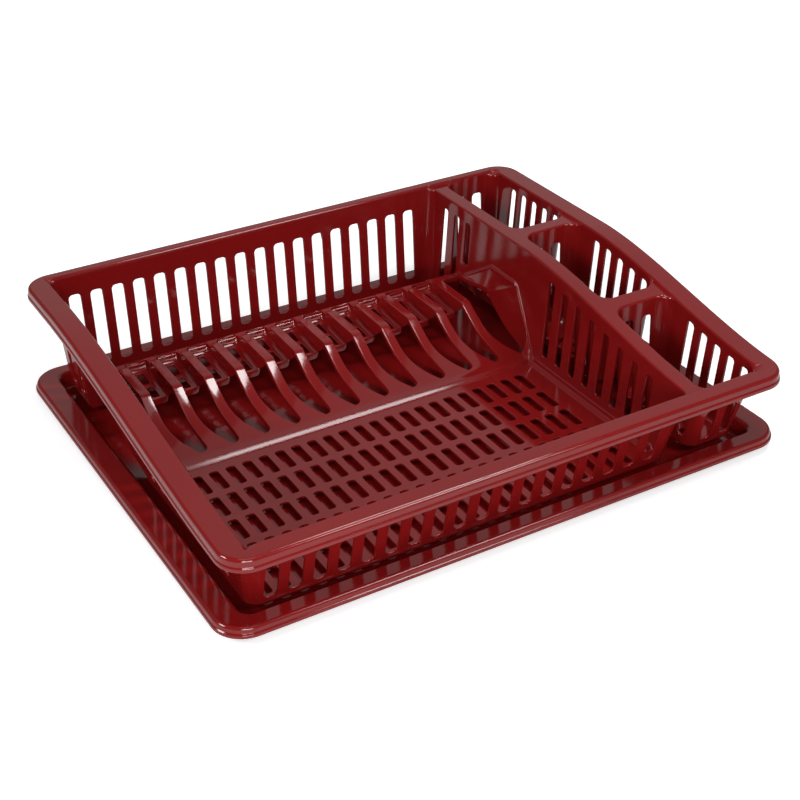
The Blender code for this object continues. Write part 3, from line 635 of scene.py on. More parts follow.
# %% The main pocket
def main_pocket(sheet):
    rows = plate_rows()
    step_y = DECK_FRONT_Y - STEP_RUN
    ledge_end = BASE[2] + FOOT_CORNER + FOOT_RADIUS
    front = sweep_stations(ledge_end + STEP_RUN, step_y)
    back = sweep_stations(rows[-1], BASE[3] - FOOT_CORNER)
    stations = [ledge_end, ledge_end + STEP_RUN, *front, step_y, *rows, *back]
    middle_x = (BASE[0] + BASE[1]) / 2

    def floor_at(x, y):
        if y > PLATFORM_BACK_Y + STEP_RUN / 2:
            return FLOOR
        if x < middle_x:
            return FLOOR if y < DECK_FRONT_Y - STEP_RUN / 2 else rib_top_height(y)
        if y < ledge_end + STEP_RUN / 2:
            return FLOOR
        return LEDGE if y <= DECK_FRONT_Y else gusset_wall_height(y)

    def foot_radius_at(x, y):
        share = clamped((x - middle_x) / (BASE[1] - middle_x))
        return between(FOOT_RADIUS, DIVIDER_FOOT_RADIUS, share**4)

    mouth = (OPEN[0], DIVIDER_X, OPEN[2], OPEN[3])
    edge, foot = pocket(sheet, mouth, BASE, stations, MOUTH_CORNER, floor_at, foot_radius_at)
    start_right = 2 * (CORNER_STEPS + 1)
    start_left = start_right + len(stations) + start_right
    right = foot[start_right : start_right + len(stations)]
    left = foot[start_left:][::-1]
    at = {y: number for number, y in enumerate(stations)}
    front_row, back_row = plate_section(sheet, [left[at[y]] for y in rows], [right[at[y]] for y in rows])

    ledge_index = 2 * GAP_COUNT - 1
    ledge_left = front_row[ledge_index]
    ledge_x = ledge_left.co.x
    ledge_near = sheet.mesh.verts.new((ledge_x, ledge_end + STEP_RUN, LEDGE))
    low_far = sheet.mesh.verts.new((ledge_x - STEP_RUN, step_y, FLOOR))
    low_near = sheet.mesh.verts.new((ledge_x - STEP_RUN, ledge_end, FLOOR))
    deck = at[DECK_FRONT_Y]
    sheet.fill([ledge_near, *right[1 : deck + 1], *front_row[ledge_index:-1][::-1]])
    sheet.face([left[at[step_y]], low_far, *front_row[: ledge_index + 1][::-1]])
    sheet.face([low_far, low_near, ledge_near, ledge_left])
    sheet.face([low_near, right[0], right[1], ledge_near])
    front_arc = foot[:start_right]
    sheet.fill([*left[: at[step_y] + 1][::-1], *front_arc, right[0], low_near, low_far])
    end = at[rows[-1]]
    back_arc = foot[start_right + len(stations) : start_left]
    sheet.fill([*right[end:], *back_arc, *left[end:][::-1], *back_row[1:-1]])
    return edge


# %% [markdown]
# Three pots for cutlery stand in a row beside the main pocket. They are the same pocket, made small.

# %% The cutlery pots
BAY_CORNER = 0.011


def bay_mouth(number):
    """Mouth of one cutlery pot, counted from the front."""
    front = OPEN[2] + number * (BAY_DEPTH + RAIL_WIDTH)
    return (BAY_LEFT, OPEN[1], front, front + BAY_DEPTH)


def bay_base(number):
    left, right, front, back = bay_mouth(number)
    front_lean = LEAN_FRONT if number == 0 else LEAN_BAY
    return (left + LEAN_BAY, right - LEAN_SIDE, front + front_lean, back - LEAN_BAY)


def bay_pocket(sheet, number):
    base = bay_base(number)
    room = BAY_CORNER + MOUTH_RADIUS
    stations = sweep_stations(base[2] + room, base[3] - room)
    edge, foot = pocket(
        sheet, bay_mouth(number), base, stations, BAY_CORNER, lambda x, y: FLOOR, lambda x, y: FOOT_RADIUS
    )
    sheet.face(foot)
    return edge


# %% [markdown]
# The flange itself is filled between the rim and the four mouths. It gets rows of free spots, and close
# rows where the rails step down, so that its reflections run smoothly over the S and over the steps.


# %% The flange
FLANGE_PITCH, FLANGE_ROW_PITCH, RAIL_PITCH = 0.006, 0.004, 0.001
STEP_SHARES = (-1, -0.75, -0.5, -0.3, -0.15, -0.05, 0, 0.2)


def flange_spots():
    """Free spots on the flange and the rails."""
    across = np.arange(RIM[0], RIM[1], FLANGE_PITCH)
    rows = sweep_stations(RIM[2], RIM[3], FLANGE_ROW_PITCH)
    spots = [(x, y) for y in rows for x in across]
    step = [MOUTH_RADIUS * share for share in STEP_SHARES]
    rail_x = np.arange(DIVIDER_X - MOUTH_CORNER, BAY_LEFT + MOUTH_CORNER, RAIL_PITCH)
    spots += [(x, OPEN[2] + offset) for offset in step for x in rail_x]
    spots += [(x, OPEN[3] - offset) for offset in step for x in rail_x]
    for number in range(1, BAY_COUNT):
        front = bay_mouth(number)[2]
        rail_y = np.arange(front - RAIL_WIDTH - BAY_CORNER, front + BAY_CORNER, RAIL_PITCH)
        spots += [(OPEN[1] - offset, y) for offset in step for y in rail_y]
    return spots


sheet = Sheet()
rim = rim_rings(sheet)
mouths = [main_pocket(sheet)] + [bay_pocket(sheet, number) for number in range(BAY_COUNT)]
sheet.fill(rim, mouths, flange_spots(), flange_height)
rack = sheet.object("rack_shell")
print("rack sheet:", len(rack.data.polygons), "faces")

# %% [markdown]
# Solidify turns the sheet into a wall. The offset of -1 keeps the drawn surface and puts all the
# thickness under it, as the mould's core does.

# %% Wall of the rack
apply_modifier(rack, "SOLIDIFY", thickness=WALL, offset=-1, use_even_offset=True, use_quality_normals=True)
print("rack wall:", len(rack.data.polygons), "faces")

# %% [markdown]
# ## The slots
# A drain slot is cut as the mould's steel would fill it: a block goes right through the wall. In the real
# rack two opposite corners of each slot are rounded, and the next slot has the other two rounded. One block
# is modelled for each kind of slot, and copies of it are stretched to the heights that the wall gives.

# %% Sizes of the slots
SLOT_WIDTH, SLOT_PITCH, SLOT_CORNER = 0.0104, 0.0187, 0.0034
SLOT_FOOT, SLOT_HEAD = 0.0095, 0.019
FRONT_SLOT_FOOT, FRONT_SLOT_HEAD = 0.0075, 0.028
SLOT_MARGIN = 0.0082
SIDE_SLOT_WIDTH, SIDE_SLOT_PITCH, SIDE_SLOT_HEAD, SIDE_SLOT_MARGIN = 0.008, 0.0163, 0.008, 0.0105
SIDE_SLOT_CORNER = SLOT_CORNER * 0.8
DIVIDER_SLOT_HEAD = 0.014
SIDE_SLOT_COUNT = 5
REAR_SLOT_COUNT, REAR_SLOT_MARGIN, FRONT_SLOT_MARGIN = 3, 0.016, 0.010
GRID_SLOT = (0.0077, 0.0253)
GRID_PITCH, GRID_ROW_PITCH = 0.014, 0.0322
GRID_MARGIN_SIDE, GRID_MARGIN_BACK = 0.0095, 0.0104
GRID_CORNER = 0.0024
BAY_FLOOR_SLOT = (0.026, 0.005)
BAY_FLOOR_PITCH, BAY_FLOOR_SLOTS = 0.012, 5
GAP_SLOT = (0.006, 0.0165)
GAP_SLOT_PITCH, GAP_SLOT_MARGIN, GAP_SLOT_CORNER = 0.0205, 0.003, 0.0018
OVERRUN = 0.004


# %% One block for each kind of slot
def slot_block(name, size, corner, steps=4):
    """A block with its middle at the origin, open along Y, with two opposite corners rounded."""
    block = added(bpy.ops.mesh.primitive_cube_add, name, size=1)
    block.scale = size
    bpy.ops.object.transform_apply(location=False, rotation=False, scale=True)
    for edge in block.data.edges:
        start, end = (block.data.vertices[index].co for index in edge.vertices)
        edge.select = start.y * end.y < 0 and start.x * start.z < 0
    bpy.context.tool_settings.mesh_select_mode = (False, True, False)
    bpy.ops.object.mode_set(mode="EDIT")
    bpy.ops.mesh.bevel(offset=corner, segments=steps, affect="EDGES")
    bpy.ops.object.mode_set(mode="OBJECT")
    return block


def place_block(block, place, mirrored=False, heads=(0, 0), turned=False, flat=False):
    """A copy of the block at its place.

    Heads lift its upper corners. A turned block is open along X, a flat one along Z."""
    copy = block.copy()
    copy.data = block.data.copy()
    bpy.context.scene.collection.objects.link(copy)
    side = -1 if mirrored else 1
    for corner in copy.data.vertices:
        x, y, z = corner.co.x * side, corner.co.y, corner.co.z
        if z > 0:
            z += between(heads[0], heads[1], 0.5 + x / SIDE_SLOT_WIDTH) if turned else heads[0]
        if turned:
            x, y = y, x
        if flat:
            y, z = z, y
        corner.co = Vector((x, y, z)) + Vector(place)
    return copy


# %% [markdown]
# The rows of slots follow the walls: along the back and the front of the main pocket, along both its
# sides, and round the three pots. Beside the ribs the side walls have none.


# %% Slots in the walls
def columns(first, last, width, pitch):
    """Middles of as many slots as fit from first up to last."""
    count = int((last - first - width) / pitch) + 1
    return [first + width / 2 + number * pitch for number in range(count)]


def centred(middle, count, pitch):
    return [middle + (number - (count - 1) / 2) * pitch for number in range(count)]


def cross_slots(middles, foot, head, y, reach, found):
    """Slots through a wall that runs along X."""
    block = slot_block("slot", (SLOT_WIDTH, 2 * reach, head - foot), SLOT_CORNER)
    for number, x in enumerate(middles):
        found.append(place_block(block, (x, y, (foot + head) / 2), mirrored=number % 2 == 1))
    bpy.data.objects.remove(block)


def side_slots(middles, foot_at, drop, x, reach, found):
    """Slots through a wall that runs along Y. Their heads follow the rim."""
    for number, y in enumerate(middles):
        foot, half = foot_at(y), SIDE_SLOT_WIDTH / 2
        near, far = rim_height(y - half, x) - drop, rim_height(y + half, x) - drop
        block = slot_block("slot", (SIDE_SLOT_WIDTH, 2 * reach, near - foot), SIDE_SLOT_CORNER)
        middle = (x, y, (foot + near) / 2)
        found.append(place_block(block, middle, number % 2 == 1, heads=(0, far - near), turned=True))
        bpy.data.objects.remove(block)


def wall_slots(found):
    low, front_low = FLOOR + SLOT_FOOT, FLOOR + FRONT_SLOT_FOOT
    main = columns(BASE[0] + SLOT_MARGIN, BASE[1], SLOT_WIDTH, SLOT_PITCH)
    pair = centred((bay_base(0)[0] + bay_base(0)[1]) / 2, 2, SLOT_PITCH)
    back_y, front_y = OPEN[3] - LEAN_BACK / 2, OPEN[2] + LEAN_FRONT / 2
    back_reach, front_reach = LEAN_BACK / 2 + OVERRUN, LEAN_FRONT / 2 + OVERRUN
    back_head, front_head = rim_height(back_y) - SLOT_HEAD, rim_height(front_y) - FRONT_SLOT_HEAD
    for middles in (main, pair):
        cross_slots(middles, low, back_head, back_y, back_reach, found)
        cross_slots(middles, front_low, front_head, front_y, front_reach, found)
    for number in range(BAY_COUNT):
        left, right, front, back = bay_mouth(number)
        if number > 0:
            y = front - RAIL_WIDTH / 2
            cross_slots(pair, low, rim_height(y) - SLOT_HEAD, y, RAIL_WIDTH / 2 + LEAN_BAY + WALL, found)
        first = front + SIDE_SLOT_MARGIN + SIDE_SLOT_WIDTH / 2
        middles = [first + index * SIDE_SLOT_PITCH for index in range(SIDE_SLOT_COUNT)]
        wall_x, reach = right - LEAN_SIDE / 2, LEAN_SIDE / 2 + OVERRUN
        side_slots(middles, lambda y: low, SIDE_SLOT_HEAD, wall_x, reach, found)
        inner = [y + SIDE_SLOT_PITCH / 2 for y in middles]
        side_slots(inner, lambda y: low, DIVIDER_SLOT_HEAD, left + LEAN_BAY / 2, OVERRUN, found)
    pocket_side_slots(low, found)


def pocket_side_slots(low, found):
    """The slots in the divider and in the left wall."""
    rear_last = BASE[3] - REAR_SLOT_MARGIN - SIDE_SLOT_WIDTH / 2
    rear = [rear_last - index * SLOT_PITCH for index in range(REAR_SLOT_COUNT)]
    front_last = DECK_FRONT_Y - FRONT_SLOT_MARGIN - SIDE_SLOT_WIDTH / 2
    count = int((front_last - SIDE_SLOT_WIDTH / 2 - BASE[2] - FOOT_CORNER) / SLOT_PITCH) + 1
    front = [front_last - index * SLOT_PITCH for index in range(count)]

    def foot_at(y):
        beside_ribs = DECK_FRONT_Y < y < PLATFORM_BACK_Y + STEP_RUN + OVERRUN
        return RIB_TOP + SLOT_FOOT if beside_ribs else low

    walls = (
        (DIVIDER_X - LEAN_DIVIDER / 2, LEAN_DIVIDER / 2 + WALL * 1.5),
        (OPEN[0] + LEAN_SIDE / 2, LEAN_SIDE / 2 + OVERRUN),
    )
    for x, reach in walls:
        for middles in (rear[::-1], front[::-1]):
            side_slots(middles, foot_at, DIVIDER_SLOT_HEAD, x, reach, found)


# %% [markdown]
# The floors drain too: a grid in the main pocket, two slots in each valley and a ladder of slots in each
# pot. These blocks go down through the floor, so they are the same kind of block with Y and Z exchanged.


# %% Slots in the floors
def floor_slots(found):
    grid = slot_block("grid slot", (GRID_SLOT[0], 2 * OVERRUN, GRID_SLOT[1]), GRID_CORNER)
    last_row = DECK_FRONT_Y - STEP_RUN - GRID_MARGIN_BACK - GRID_SLOT[1] / 2
    rows = int((last_row - GRID_SLOT[1] / 2 - BASE[2] - FOOT_RADIUS) / GRID_ROW_PITCH) + 1
    first, last = BASE[0] + GRID_MARGIN_SIDE + FOOT_RADIUS, BASE[1] - GRID_MARGIN_SIDE
    middles = columns(first, last, GRID_SLOT[0], GRID_PITCH)
    for row in range(rows):
        for number, x in enumerate(middles):
            place = (x, last_row - row * GRID_ROW_PITCH, FLOOR - WALL / 2)
            found.append(place_block(grid, place, (number + row) % 2 == 1, flat=True))
    low, high = VALLEY_LOW - WALL - OVERRUN, PLATFORM - WALL / 2
    valley = slot_block("valley slot", (GAP_SLOT[0], high - low, GAP_SLOT[1]), GAP_SLOT_CORNER)
    for gap in range(GAP_COUNT - 1):
        middle = BASE[0] + RIB_SHIFT + (gap + 1) * RIB_PITCH - (RIB_PITCH - RIB_WIDTH) / 2
        for number in range(2):
            y = LIP_Y + GAP_SLOT_MARGIN + GAP_SLOT[1] / 2 + number * GAP_SLOT_PITCH
            found.append(place_block(valley, (middle, y, (low + high) / 2), number % 2 == 1, flat=True))
    ladder = slot_block("pot slot", (BAY_FLOOR_SLOT[0], 2 * OVERRUN, BAY_FLOOR_SLOT[1]), GRID_CORNER)
    for number in range(BAY_COUNT):
        left, right, front, back = bay_base(number)
        for y in centred((front + back) / 2, BAY_FLOOR_SLOTS, BAY_FLOOR_PITCH):
            found.append(place_block(ladder, ((left + right) / 2, y, FLOOR - WALL / 2), flat=True))
    for block in (grid, valley, ladder):
        bpy.data.objects.remove(block)


# %% [markdown]
# All the blocks are joined into one object, with their faces turned outwards, and one exact Boolean cuts
# them at once. The faces that the blocks leave keep a second material slot for a moment: it marks the
# slots' edges, which get a finer rounding than the rest of the moulding.


# %% Cutting the slots
def joined(pieces, name):
    only(pieces[0])
    for piece in pieces:
        piece.select_set(True)
    bpy.ops.object.join()
    pieces[0].name = name
    return pieces[0]


def facing_out(piece):
    """Turns the faces of every closed part of the piece outwards."""
    only(piece)
    bpy.ops.object.mode_set(mode="EDIT")
    bpy.ops.mesh.select_all(action="SELECT")
    bpy.ops.mesh.normals_make_consistent(inside=False)
    bpy.ops.object.mode_set(mode="OBJECT")


def marked(piece, name):
    """Gives the piece a marking material."""
    material = bpy.data.materials.new(name)
    piece.data.materials.clear()
    piece.data.materials.append(material)


blocks = []
wall_slots(blocks)
floor_slots(blocks)
print(len(blocks), "slots")
cutter = joined(blocks, "slot blocks")
facing_out(cutter)
marked(rack, "moulding mark")
marked(cutter, "slot mark")

# %% [markdown]
# Small feet keep the floor off the tray. They are blocks with rounded edges, sunk into the floor's skin.

# %% Feet
FOOT_SIZE = 0.006
FOOT_INSET = 0.022
POT_FOOT_INSET = 0.014


def foot_block(x, y):
    low, high = WALL + FOOT_GAP, FLOOR - WALL / 2
    foot = added(bpy.ops.mesh.primitive_cube_add, "foot", size=1, location=(x, y, (low + high) / 2))
    foot.scale = (FOOT_SIZE, FOOT_SIZE, high - low)
    bpy.ops.object.transform_apply(location=True, rotation=False, scale=True)
    apply_modifier(foot, "BEVEL", width=FOOT_SIZE / 5, segments=3)
    return foot


left, right, front, back = grown(BASE, -FOOT_INSET)
corners = [(x, y) for x in (left, right) for y in (front, back)]
corners += [(bay_base(number)[1] - POT_FOOT_INSET, bay_base(number)[2] + FOOT_CORNER) for number in (0, 2)]
feet = joined([foot_block(x + FOOT_SIZE / 2, y + FOOT_SIZE / 2) for x, y in corners], "feet")
marked(feet, "moulding mark")
apply_modifier(rack, "BOOLEAN", object=feet, operation="UNION", solver="EXACT")
apply_modifier(
    rack, "BOOLEAN", object=cutter, operation="DIFFERENCE", solver="EXACT", material_mode="TRANSFER"
)
for helper in (feet, cutter):
    bpy.data.objects.remove(helper)
print("slotted rack:", len(rack.data.polygons), "faces")

# %% [markdown]
# ## Rounding the edges
# No moulded edge is sharp. Each one is rounded by a bevel, whose width comes from the edge's own bevel
# weight: full on the moulding's edges, a little over half of that on the slots', and less wherever the
# faces beside an edge are too narrow for it. Weighted normals then keep the flats flat.

# %% Rounding
EDGE_BEVEL = 0.0008
SLOT_BEVEL_SHARE = 0.6
BEVEL_ROOM = 0.42
SHARP_DEGREES = 34
SHADE_DEGREES = 26
FLAT_DEGREES = 0.3
WELD = WALL * 0.05


def bevel_share(edge, width, cuts):
    """The part of the full width that an edge gets: less at a slot, and what its faces have room for."""
    room = min(face.calc_area() for face in edge.link_faces) / edge.calc_length()
    at_cut = any(face.material_index in cuts for face in edge.link_faces)
    return min(SLOT_BEVEL_SHARE if at_cut else 1, BEVEL_ROOM * room / width)


def round_edges(piece, width, segments, cut_name=None):
    mesh = bmesh.new()
    mesh.from_mesh(piece.data)
    bmesh.ops.remove_doubles(mesh, verts=mesh.verts, dist=WELD)
    parts = {"verts": mesh.verts, "edges": mesh.edges}
    bmesh.ops.dissolve_limit(mesh, angle_limit=math.radians(FLAT_DEGREES), delimit={"MATERIAL"}, **parts)
    weight = mesh.edges.layers.float.new("bevel_weight_edge")
    names = [material.name for material in piece.data.materials]
    cuts = {number for number, name in enumerate(names) if name == cut_name}
    for edge in mesh.edges:
        if len(edge.link_faces) == 2 and edge.calc_face_angle() > math.radians(SHARP_DEGREES):
            edge[weight] = bevel_share(edge, width, cuts)
    mesh.to_mesh(piece.data)
    mesh.free()
    settings = {"limit_method": "WEIGHT", "use_clamp_overlap": False, "loop_slide": False}
    apply_modifier(piece, "BEVEL", width=width, segments=segments, **settings)


round_edges(rack, EDGE_BEVEL, 2, "slot mark")
print("rounded rack:", len(rack.data.polygons), "faces")

# %% [markdown]
# ## The drip tray
# The tray is simple enough to shape by hand from a plane: its corners are rounded, the flange is inset, the
# basin is pushed down, and the lip is pulled down from the border in two bands, as on the rack. A bevel of
# 3 mm then rounds the rim, the mouth and the foot of the wall in one go, and Solidify gives the thickness.

# %% Sizes of the tray
TRAY_LENGTH, TRAY_DEPTH = 0.480, 0.396
TRAY_Y = 0.001675
TRAY_CORNER = 0.025
TRAY_TOP = 0.01475
TRAY_LIP_DROP, TRAY_LIP_STEP_DROP = 0.008, 0.0045
TRAY_FLANGE_SIDE, TRAY_FLANGE_FRONT = 0.020, 0.0155
TRAY_LEAN = 0.003
TRAY_LIFT = 0.00002


# %% Picking edges
def pick_edges(piece, wanted):
    """Goes to edit mode with just those edges selected that the test accepts."""
    bpy.ops.object.mode_set(mode="EDIT")
    bpy.ops.mesh.select_mode(type="EDGE")
    bpy.ops.mesh.select_all(action="DESELECT")
    mesh = bmesh.from_edit_mesh(piece.data)
    for edge in mesh.edges:
        if wanted(edge):
            edge.select_set(True)
    bmesh.update_edit_mesh(piece.data)


def pull_lip(piece, down, out, length, depth):
    """Extrudes the open border down and outward."""
    pick_edges(piece, lambda edge: edge.is_boundary)
    bpy.ops.mesh.extrude_edges_move(TRANSFORM_OT_translate={"value": (0, 0, -down)})
    if out:
        bpy.ops.transform.resize(value=((length + 2 * out) / length, (depth + 2 * out) / depth, 1))
    bpy.ops.object.mode_set(mode="OBJECT")


# %% The tray, from a plane
tray = added(bpy.ops.mesh.primitive_plane_add, "tray_shell", size=1, location=(0, 0, TRAY_TOP))
flat_length, flat_depth = TRAY_LENGTH - 2 * LIP_STEP, TRAY_DEPTH - 2 * LIP_STEP
tray.scale = (flat_length, flat_depth, 1)
bpy.ops.object.transform_apply(location=True, rotation=False, scale=True)
bpy.ops.object.mode_set(mode="EDIT")
bpy.ops.mesh.select_all(action="SELECT")
bpy.ops.mesh.bevel(offset=TRAY_CORNER - LIP_STEP, segments=12, affect="VERTICES")
bpy.ops.mesh.select_all(action="SELECT")
bpy.ops.mesh.inset(thickness=TRAY_FLANGE_FRONT - LIP_STEP)
basin_length, basin_depth = TRAY_LENGTH - 2 * TRAY_FLANGE_SIDE, TRAY_DEPTH - 2 * TRAY_FLANGE_FRONT
inset_length = TRAY_LENGTH - 2 * TRAY_FLANGE_FRONT
bpy.ops.transform.resize(value=(basin_length / inset_length, 1, 1))
bpy.ops.mesh.extrude_region_move(TRANSFORM_OT_translate={"value": (0, 0, WALL - TRAY_TOP)})
bpy.ops.transform.resize(value=(1 - 2 * TRAY_LEAN / basin_length, 1 - 2 * TRAY_LEAN / basin_depth, 1))
bpy.ops.object.mode_set(mode="OBJECT")
lower_band = TRAY_LIP_DROP - TRAY_LIP_STEP_DROP - LIP_STEP
for down, out in ((TRAY_LIP_STEP_DROP, 0), (LIP_STEP, LIP_STEP), (lower_band, 0)):
    pull_lip(tray, down, out, flat_length, flat_depth)
print("tray from a plane:", len(tray.data.polygons), "faces")


# %% Rounding and thickness of the tray
def bends_at_level(edge):
    heights = [corner.co.z for corner in edge.verts]
    level = max(heights) - min(heights) < WALL * 0.1
    main = abs(heights[0] - TRAY_TOP) < WALL * 0.1 or abs(heights[0] - WALL) < WALL * 0.1
    return level and main and not edge.is_boundary and edge.calc_face_angle() > math.radians(SHARP_DEGREES)


pick_edges(tray, bends_at_level)
bpy.ops.mesh.bevel(offset=EDGE_RADIUS, segments=ARC_STEPS + 1, affect="EDGES", clamp_overlap=False)
bpy.ops.object.mode_set(mode="OBJECT")
apply_modifier(tray, "SOLIDIFY", thickness=WALL, offset=-1, use_even_offset=True, use_quality_normals=True)
marked(tray, "moulding mark")
round_edges(tray, EDGE_BEVEL / 2, 2)
print("tray:", len(tray.data.polygons), "faces")

# %% [markdown]
# ## Putting the pieces in the model's frame
# Both pieces were drawn about their own centre. The object's origin lies under the centre of the whole, so
# each piece is moved back or forward, the tray also up by a hair, and the move is applied to its mesh.


# %% Place and smooth
def settle(piece, y, z=0):
    only(piece)
    piece.location = (0, y, z)
    bpy.ops.object.transform_apply(location=True, rotation=True, scale=True)
    bpy.ops.object.shade_smooth_by_angle(angle=math.radians(SHADE_DEGREES))
    apply_modifier(piece, "WEIGHTED_NORMAL", mode="FACE_AREA", weight=60, keep_sharp=True)


settle(rack, RACK_Y)
settle(tray, TRAY_Y, TRAY_LIFT)

# %% [markdown]
# ## The plastic
# Gloss plastic looks even at first, but the eye reads it by its small faults: a faint cloudiness in the
# colour, flow marks that change the gloss, a fine orange peel, and the scuffs that plates leave. They are
# made once, as a node group, and each material sets its own amounts.


# %% Node helpers
def add(tree, kind, **settings):
    node = tree.nodes.new(kind)
    for name, value in settings.items():
        setattr(node, name, value)
    return node


def noise(tree, vector, scale, detail, roughness=0.5):
    node = add(tree, "ShaderNodeTexNoise")
    node.inputs["Scale"].default_value = scale
    node.inputs["Detail"].default_value = detail
    node.inputs["Roughness"].default_value = roughness
    tree.links.new(vector, node.inputs["Vector"])
    return node.outputs["Fac"]


def stretched(tree, vector, scale, turn=(0, 0, 0)):
    node = add(tree, "ShaderNodeMapping")
    node.inputs["Scale"].default_value = scale
    node.inputs["Rotation"].default_value = turn
    tree.links.new(vector, node.inputs["Vector"])
    return node.outputs["Vector"]


def remap(tree, value, low, high, to_low, to_high):
    node = add(tree, "ShaderNodeMapRange", clamp=True)
    for name, number in (("From Min", low), ("From Max", high), ("To Min", to_low), ("To Max", to_high)):
        node.inputs[name].default_value = number
    tree.links.new(value, node.inputs["Value"])
    return node.outputs["Result"]


def maths(tree, operation, first, second):
    node = add(tree, "ShaderNodeMath", operation=operation)
    for number, value in enumerate((first, second)):
        if isinstance(value, (int, float)):
            node.inputs[number].default_value = value
        else:
            tree.links.new(value, node.inputs[number])
    return node.outputs["Value"]


# %% Moulding marks, as one node group
def moulding_marks():
    """Inputs set the amounts. It puts out a tone, a roughness and a height."""
    tree = bpy.data.node_groups.new("moulding marks", "ShaderNodeTree")
    for name, value in (("Cloud", 0.1), ("Gloss Low", 0.1), ("Gloss High", 0.3), ("Scuffs", 0.2)):
        item = tree.interface.new_socket(name=name, in_out="INPUT", socket_type="NodeSocketFloat")
        item.default_value = value
    for name in ("Tone", "Roughness", "Height"):
        tree.interface.new_socket(name=name, in_out="OUTPUT", socket_type="NodeSocketFloat")
    inputs = add(tree, "NodeGroupInput")
    outputs = add(tree, "NodeGroupOutput")
    place = add(tree, "ShaderNodeTexCoord").outputs["Object"]
    cloud = remap(tree, noise(tree, place, 9, 3), 0.3, 0.7, -1, 1)
    tone = maths(tree, "ADD", 1, maths(tree, "MULTIPLY", cloud, inputs.outputs["Cloud"]))
    flow = remap(tree, noise(tree, stretched(tree, place, (14, 34, 14)), 1, 4, 0.6), 0.35, 0.7, 0, 1)
    hairs = noise(tree, stretched(tree, place, (40, 900, 300), (0, 0, 0.5)), 1, 2, 0.7)
    more_hairs = noise(tree, stretched(tree, place, (700, 60, 300), (0, 0, -0.3)), 1, 2, 0.7)
    patches = remap(tree, noise(tree, place, 26, 2), 0.5, 0.72, 0, 1)
    lines = remap(tree, maths(tree, "MAXIMUM", hairs, more_hairs), 0.66, 0.8, 0, 1)
    scuff = maths(tree, "MULTIPLY", maths(tree, "MULTIPLY", lines, patches), inputs.outputs["Scuffs"])
    span = maths(tree, "SUBTRACT", inputs.outputs["Gloss High"], inputs.outputs["Gloss Low"])
    rough = maths(tree, "ADD", inputs.outputs["Gloss Low"], maths(tree, "MULTIPLY", flow, span))
    peel = maths(tree, "MULTIPLY", noise(tree, place, 420, 2), 0.6)
    wave = maths(tree, "MULTIPLY", noise(tree, place, 60, 2), 3.0)
    height = maths(tree, "SUBTRACT", maths(tree, "ADD", peel, wave), scuff)
    tree.links.new(tone, outputs.inputs["Tone"])
    tree.links.new(maths(tree, "ADD", rough, scuff), outputs.inputs["Roughness"])
    tree.links.new(height, outputs.inputs["Height"])
    return tree


MARKS = moulding_marks()
print("node group:", MARKS.name)

# %% [markdown]
# Each moulding gets its own plastic from that group: nearly the same red, with the tray a little duller and
# with a few more scuffs, from being wiped.


# %% The two plastics
PLASTIC_IOR = 1.49
PEEL_HEIGHT = 0.000008
RACK_RED = (0.170, 0.0050, 0.0054)
TRAY_RED = (0.165, 0.0046, 0.0050)


def plastic(name, color, cloud, gloss, scuffs):
    material = bpy.data.materials.new(name)
    material.use_nodes = True
    tree = material.node_tree
    shader = tree.nodes["Principled BSDF"]
    marks = add(tree, "ShaderNodeGroup", node_tree=MARKS)
    amounts = {"Cloud": cloud, "Gloss Low": gloss[0], "Gloss High": gloss[1], "Scuffs": scuffs}
    for name_of_input, value in amounts.items():
        marks.inputs[name_of_input].default_value = value
    tint = add(tree, "ShaderNodeMix", data_type="RGBA", blend_type="MULTIPLY")
    tint.inputs[0].default_value = 1
    tint.inputs[6].default_value = (*color, 1)
    tree.links.new(marks.outputs["Tone"], tint.inputs[7])
    tree.links.new(tint.outputs[2], shader.inputs["Base Color"])
    tree.links.new(marks.outputs["Roughness"], shader.inputs["Roughness"])
    bump = add(tree, "ShaderNodeBump")
    bump.inputs["Strength"].default_value = 1
    bump.inputs["Distance"].default_value = PEEL_HEIGHT
    tree.links.new(marks.outputs["Height"], bump.inputs["Height"])
    tree.links.new(bump.outputs["Normal"], shader.inputs["Normal"])
    shader.inputs["IOR"].default_value = PLASTIC_IOR
    material.diffuse_color = (*color, 1)
    return material


def coated(piece, material):
    """Puts this material alone on all faces of the piece."""
    for face in piece.data.polygons:
        face.material_index = 0
    piece.data.materials.clear()
    piece.data.materials.append(material)


rack_plastic = plastic("rack red plastic", RACK_RED, 0.07, (0.06, 0.12), 0.12)
tray_plastic = plastic("tray red plastic", TRAY_RED, 0.08, (0.08, 0.16), 0.15)
for piece, node, material in ((rack, "dish_rack", rack_plastic), (tray, "drip_tray", tray_plastic)):
    coated(piece, material)
    coated(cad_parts[node], material)
print("plastics:", rack_plastic.name, "and", tray_plastic.name)

# %% [markdown]
# ## Riding on the model
# Each finished shell stands for its CAD node and rides on that node's body, so it moves with the joint.

# %% Frame calls
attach(rack, "rack")
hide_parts("dish_rack")
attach(tray, "tray")
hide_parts("drip_tray")

# %% [markdown]
# ## Floor, light and background
# The rack stands on a white sweep. Gloss plastic shows what is around it, so the light is built as in a
# product studio: a large screen behind and above, which the level flanges mirror, and little in front,
# which keeps the walls a deep red. Two small lamps like the panes of a window stand where the ribs' slopes
# mirror them as white patches, and three soft keys and a low lamp light the front, the left and the lips.

# %% Floor
FLOOR_SIZE = 8
FLOOR_WHITE = (0.85, 0.85, 0.85, 1)
PURE_WHITE = (1, 1, 1, 1)
GLOW_NEAR, GLOW_FAR = 0.32, 0.8
GLOW_LEAST = 0.46
ROOM_LIGHT = 0.17

floor = added(bpy.ops.mesh.primitive_plane_add, "floor", size=FLOOR_SIZE, location=(0, 0, 0))


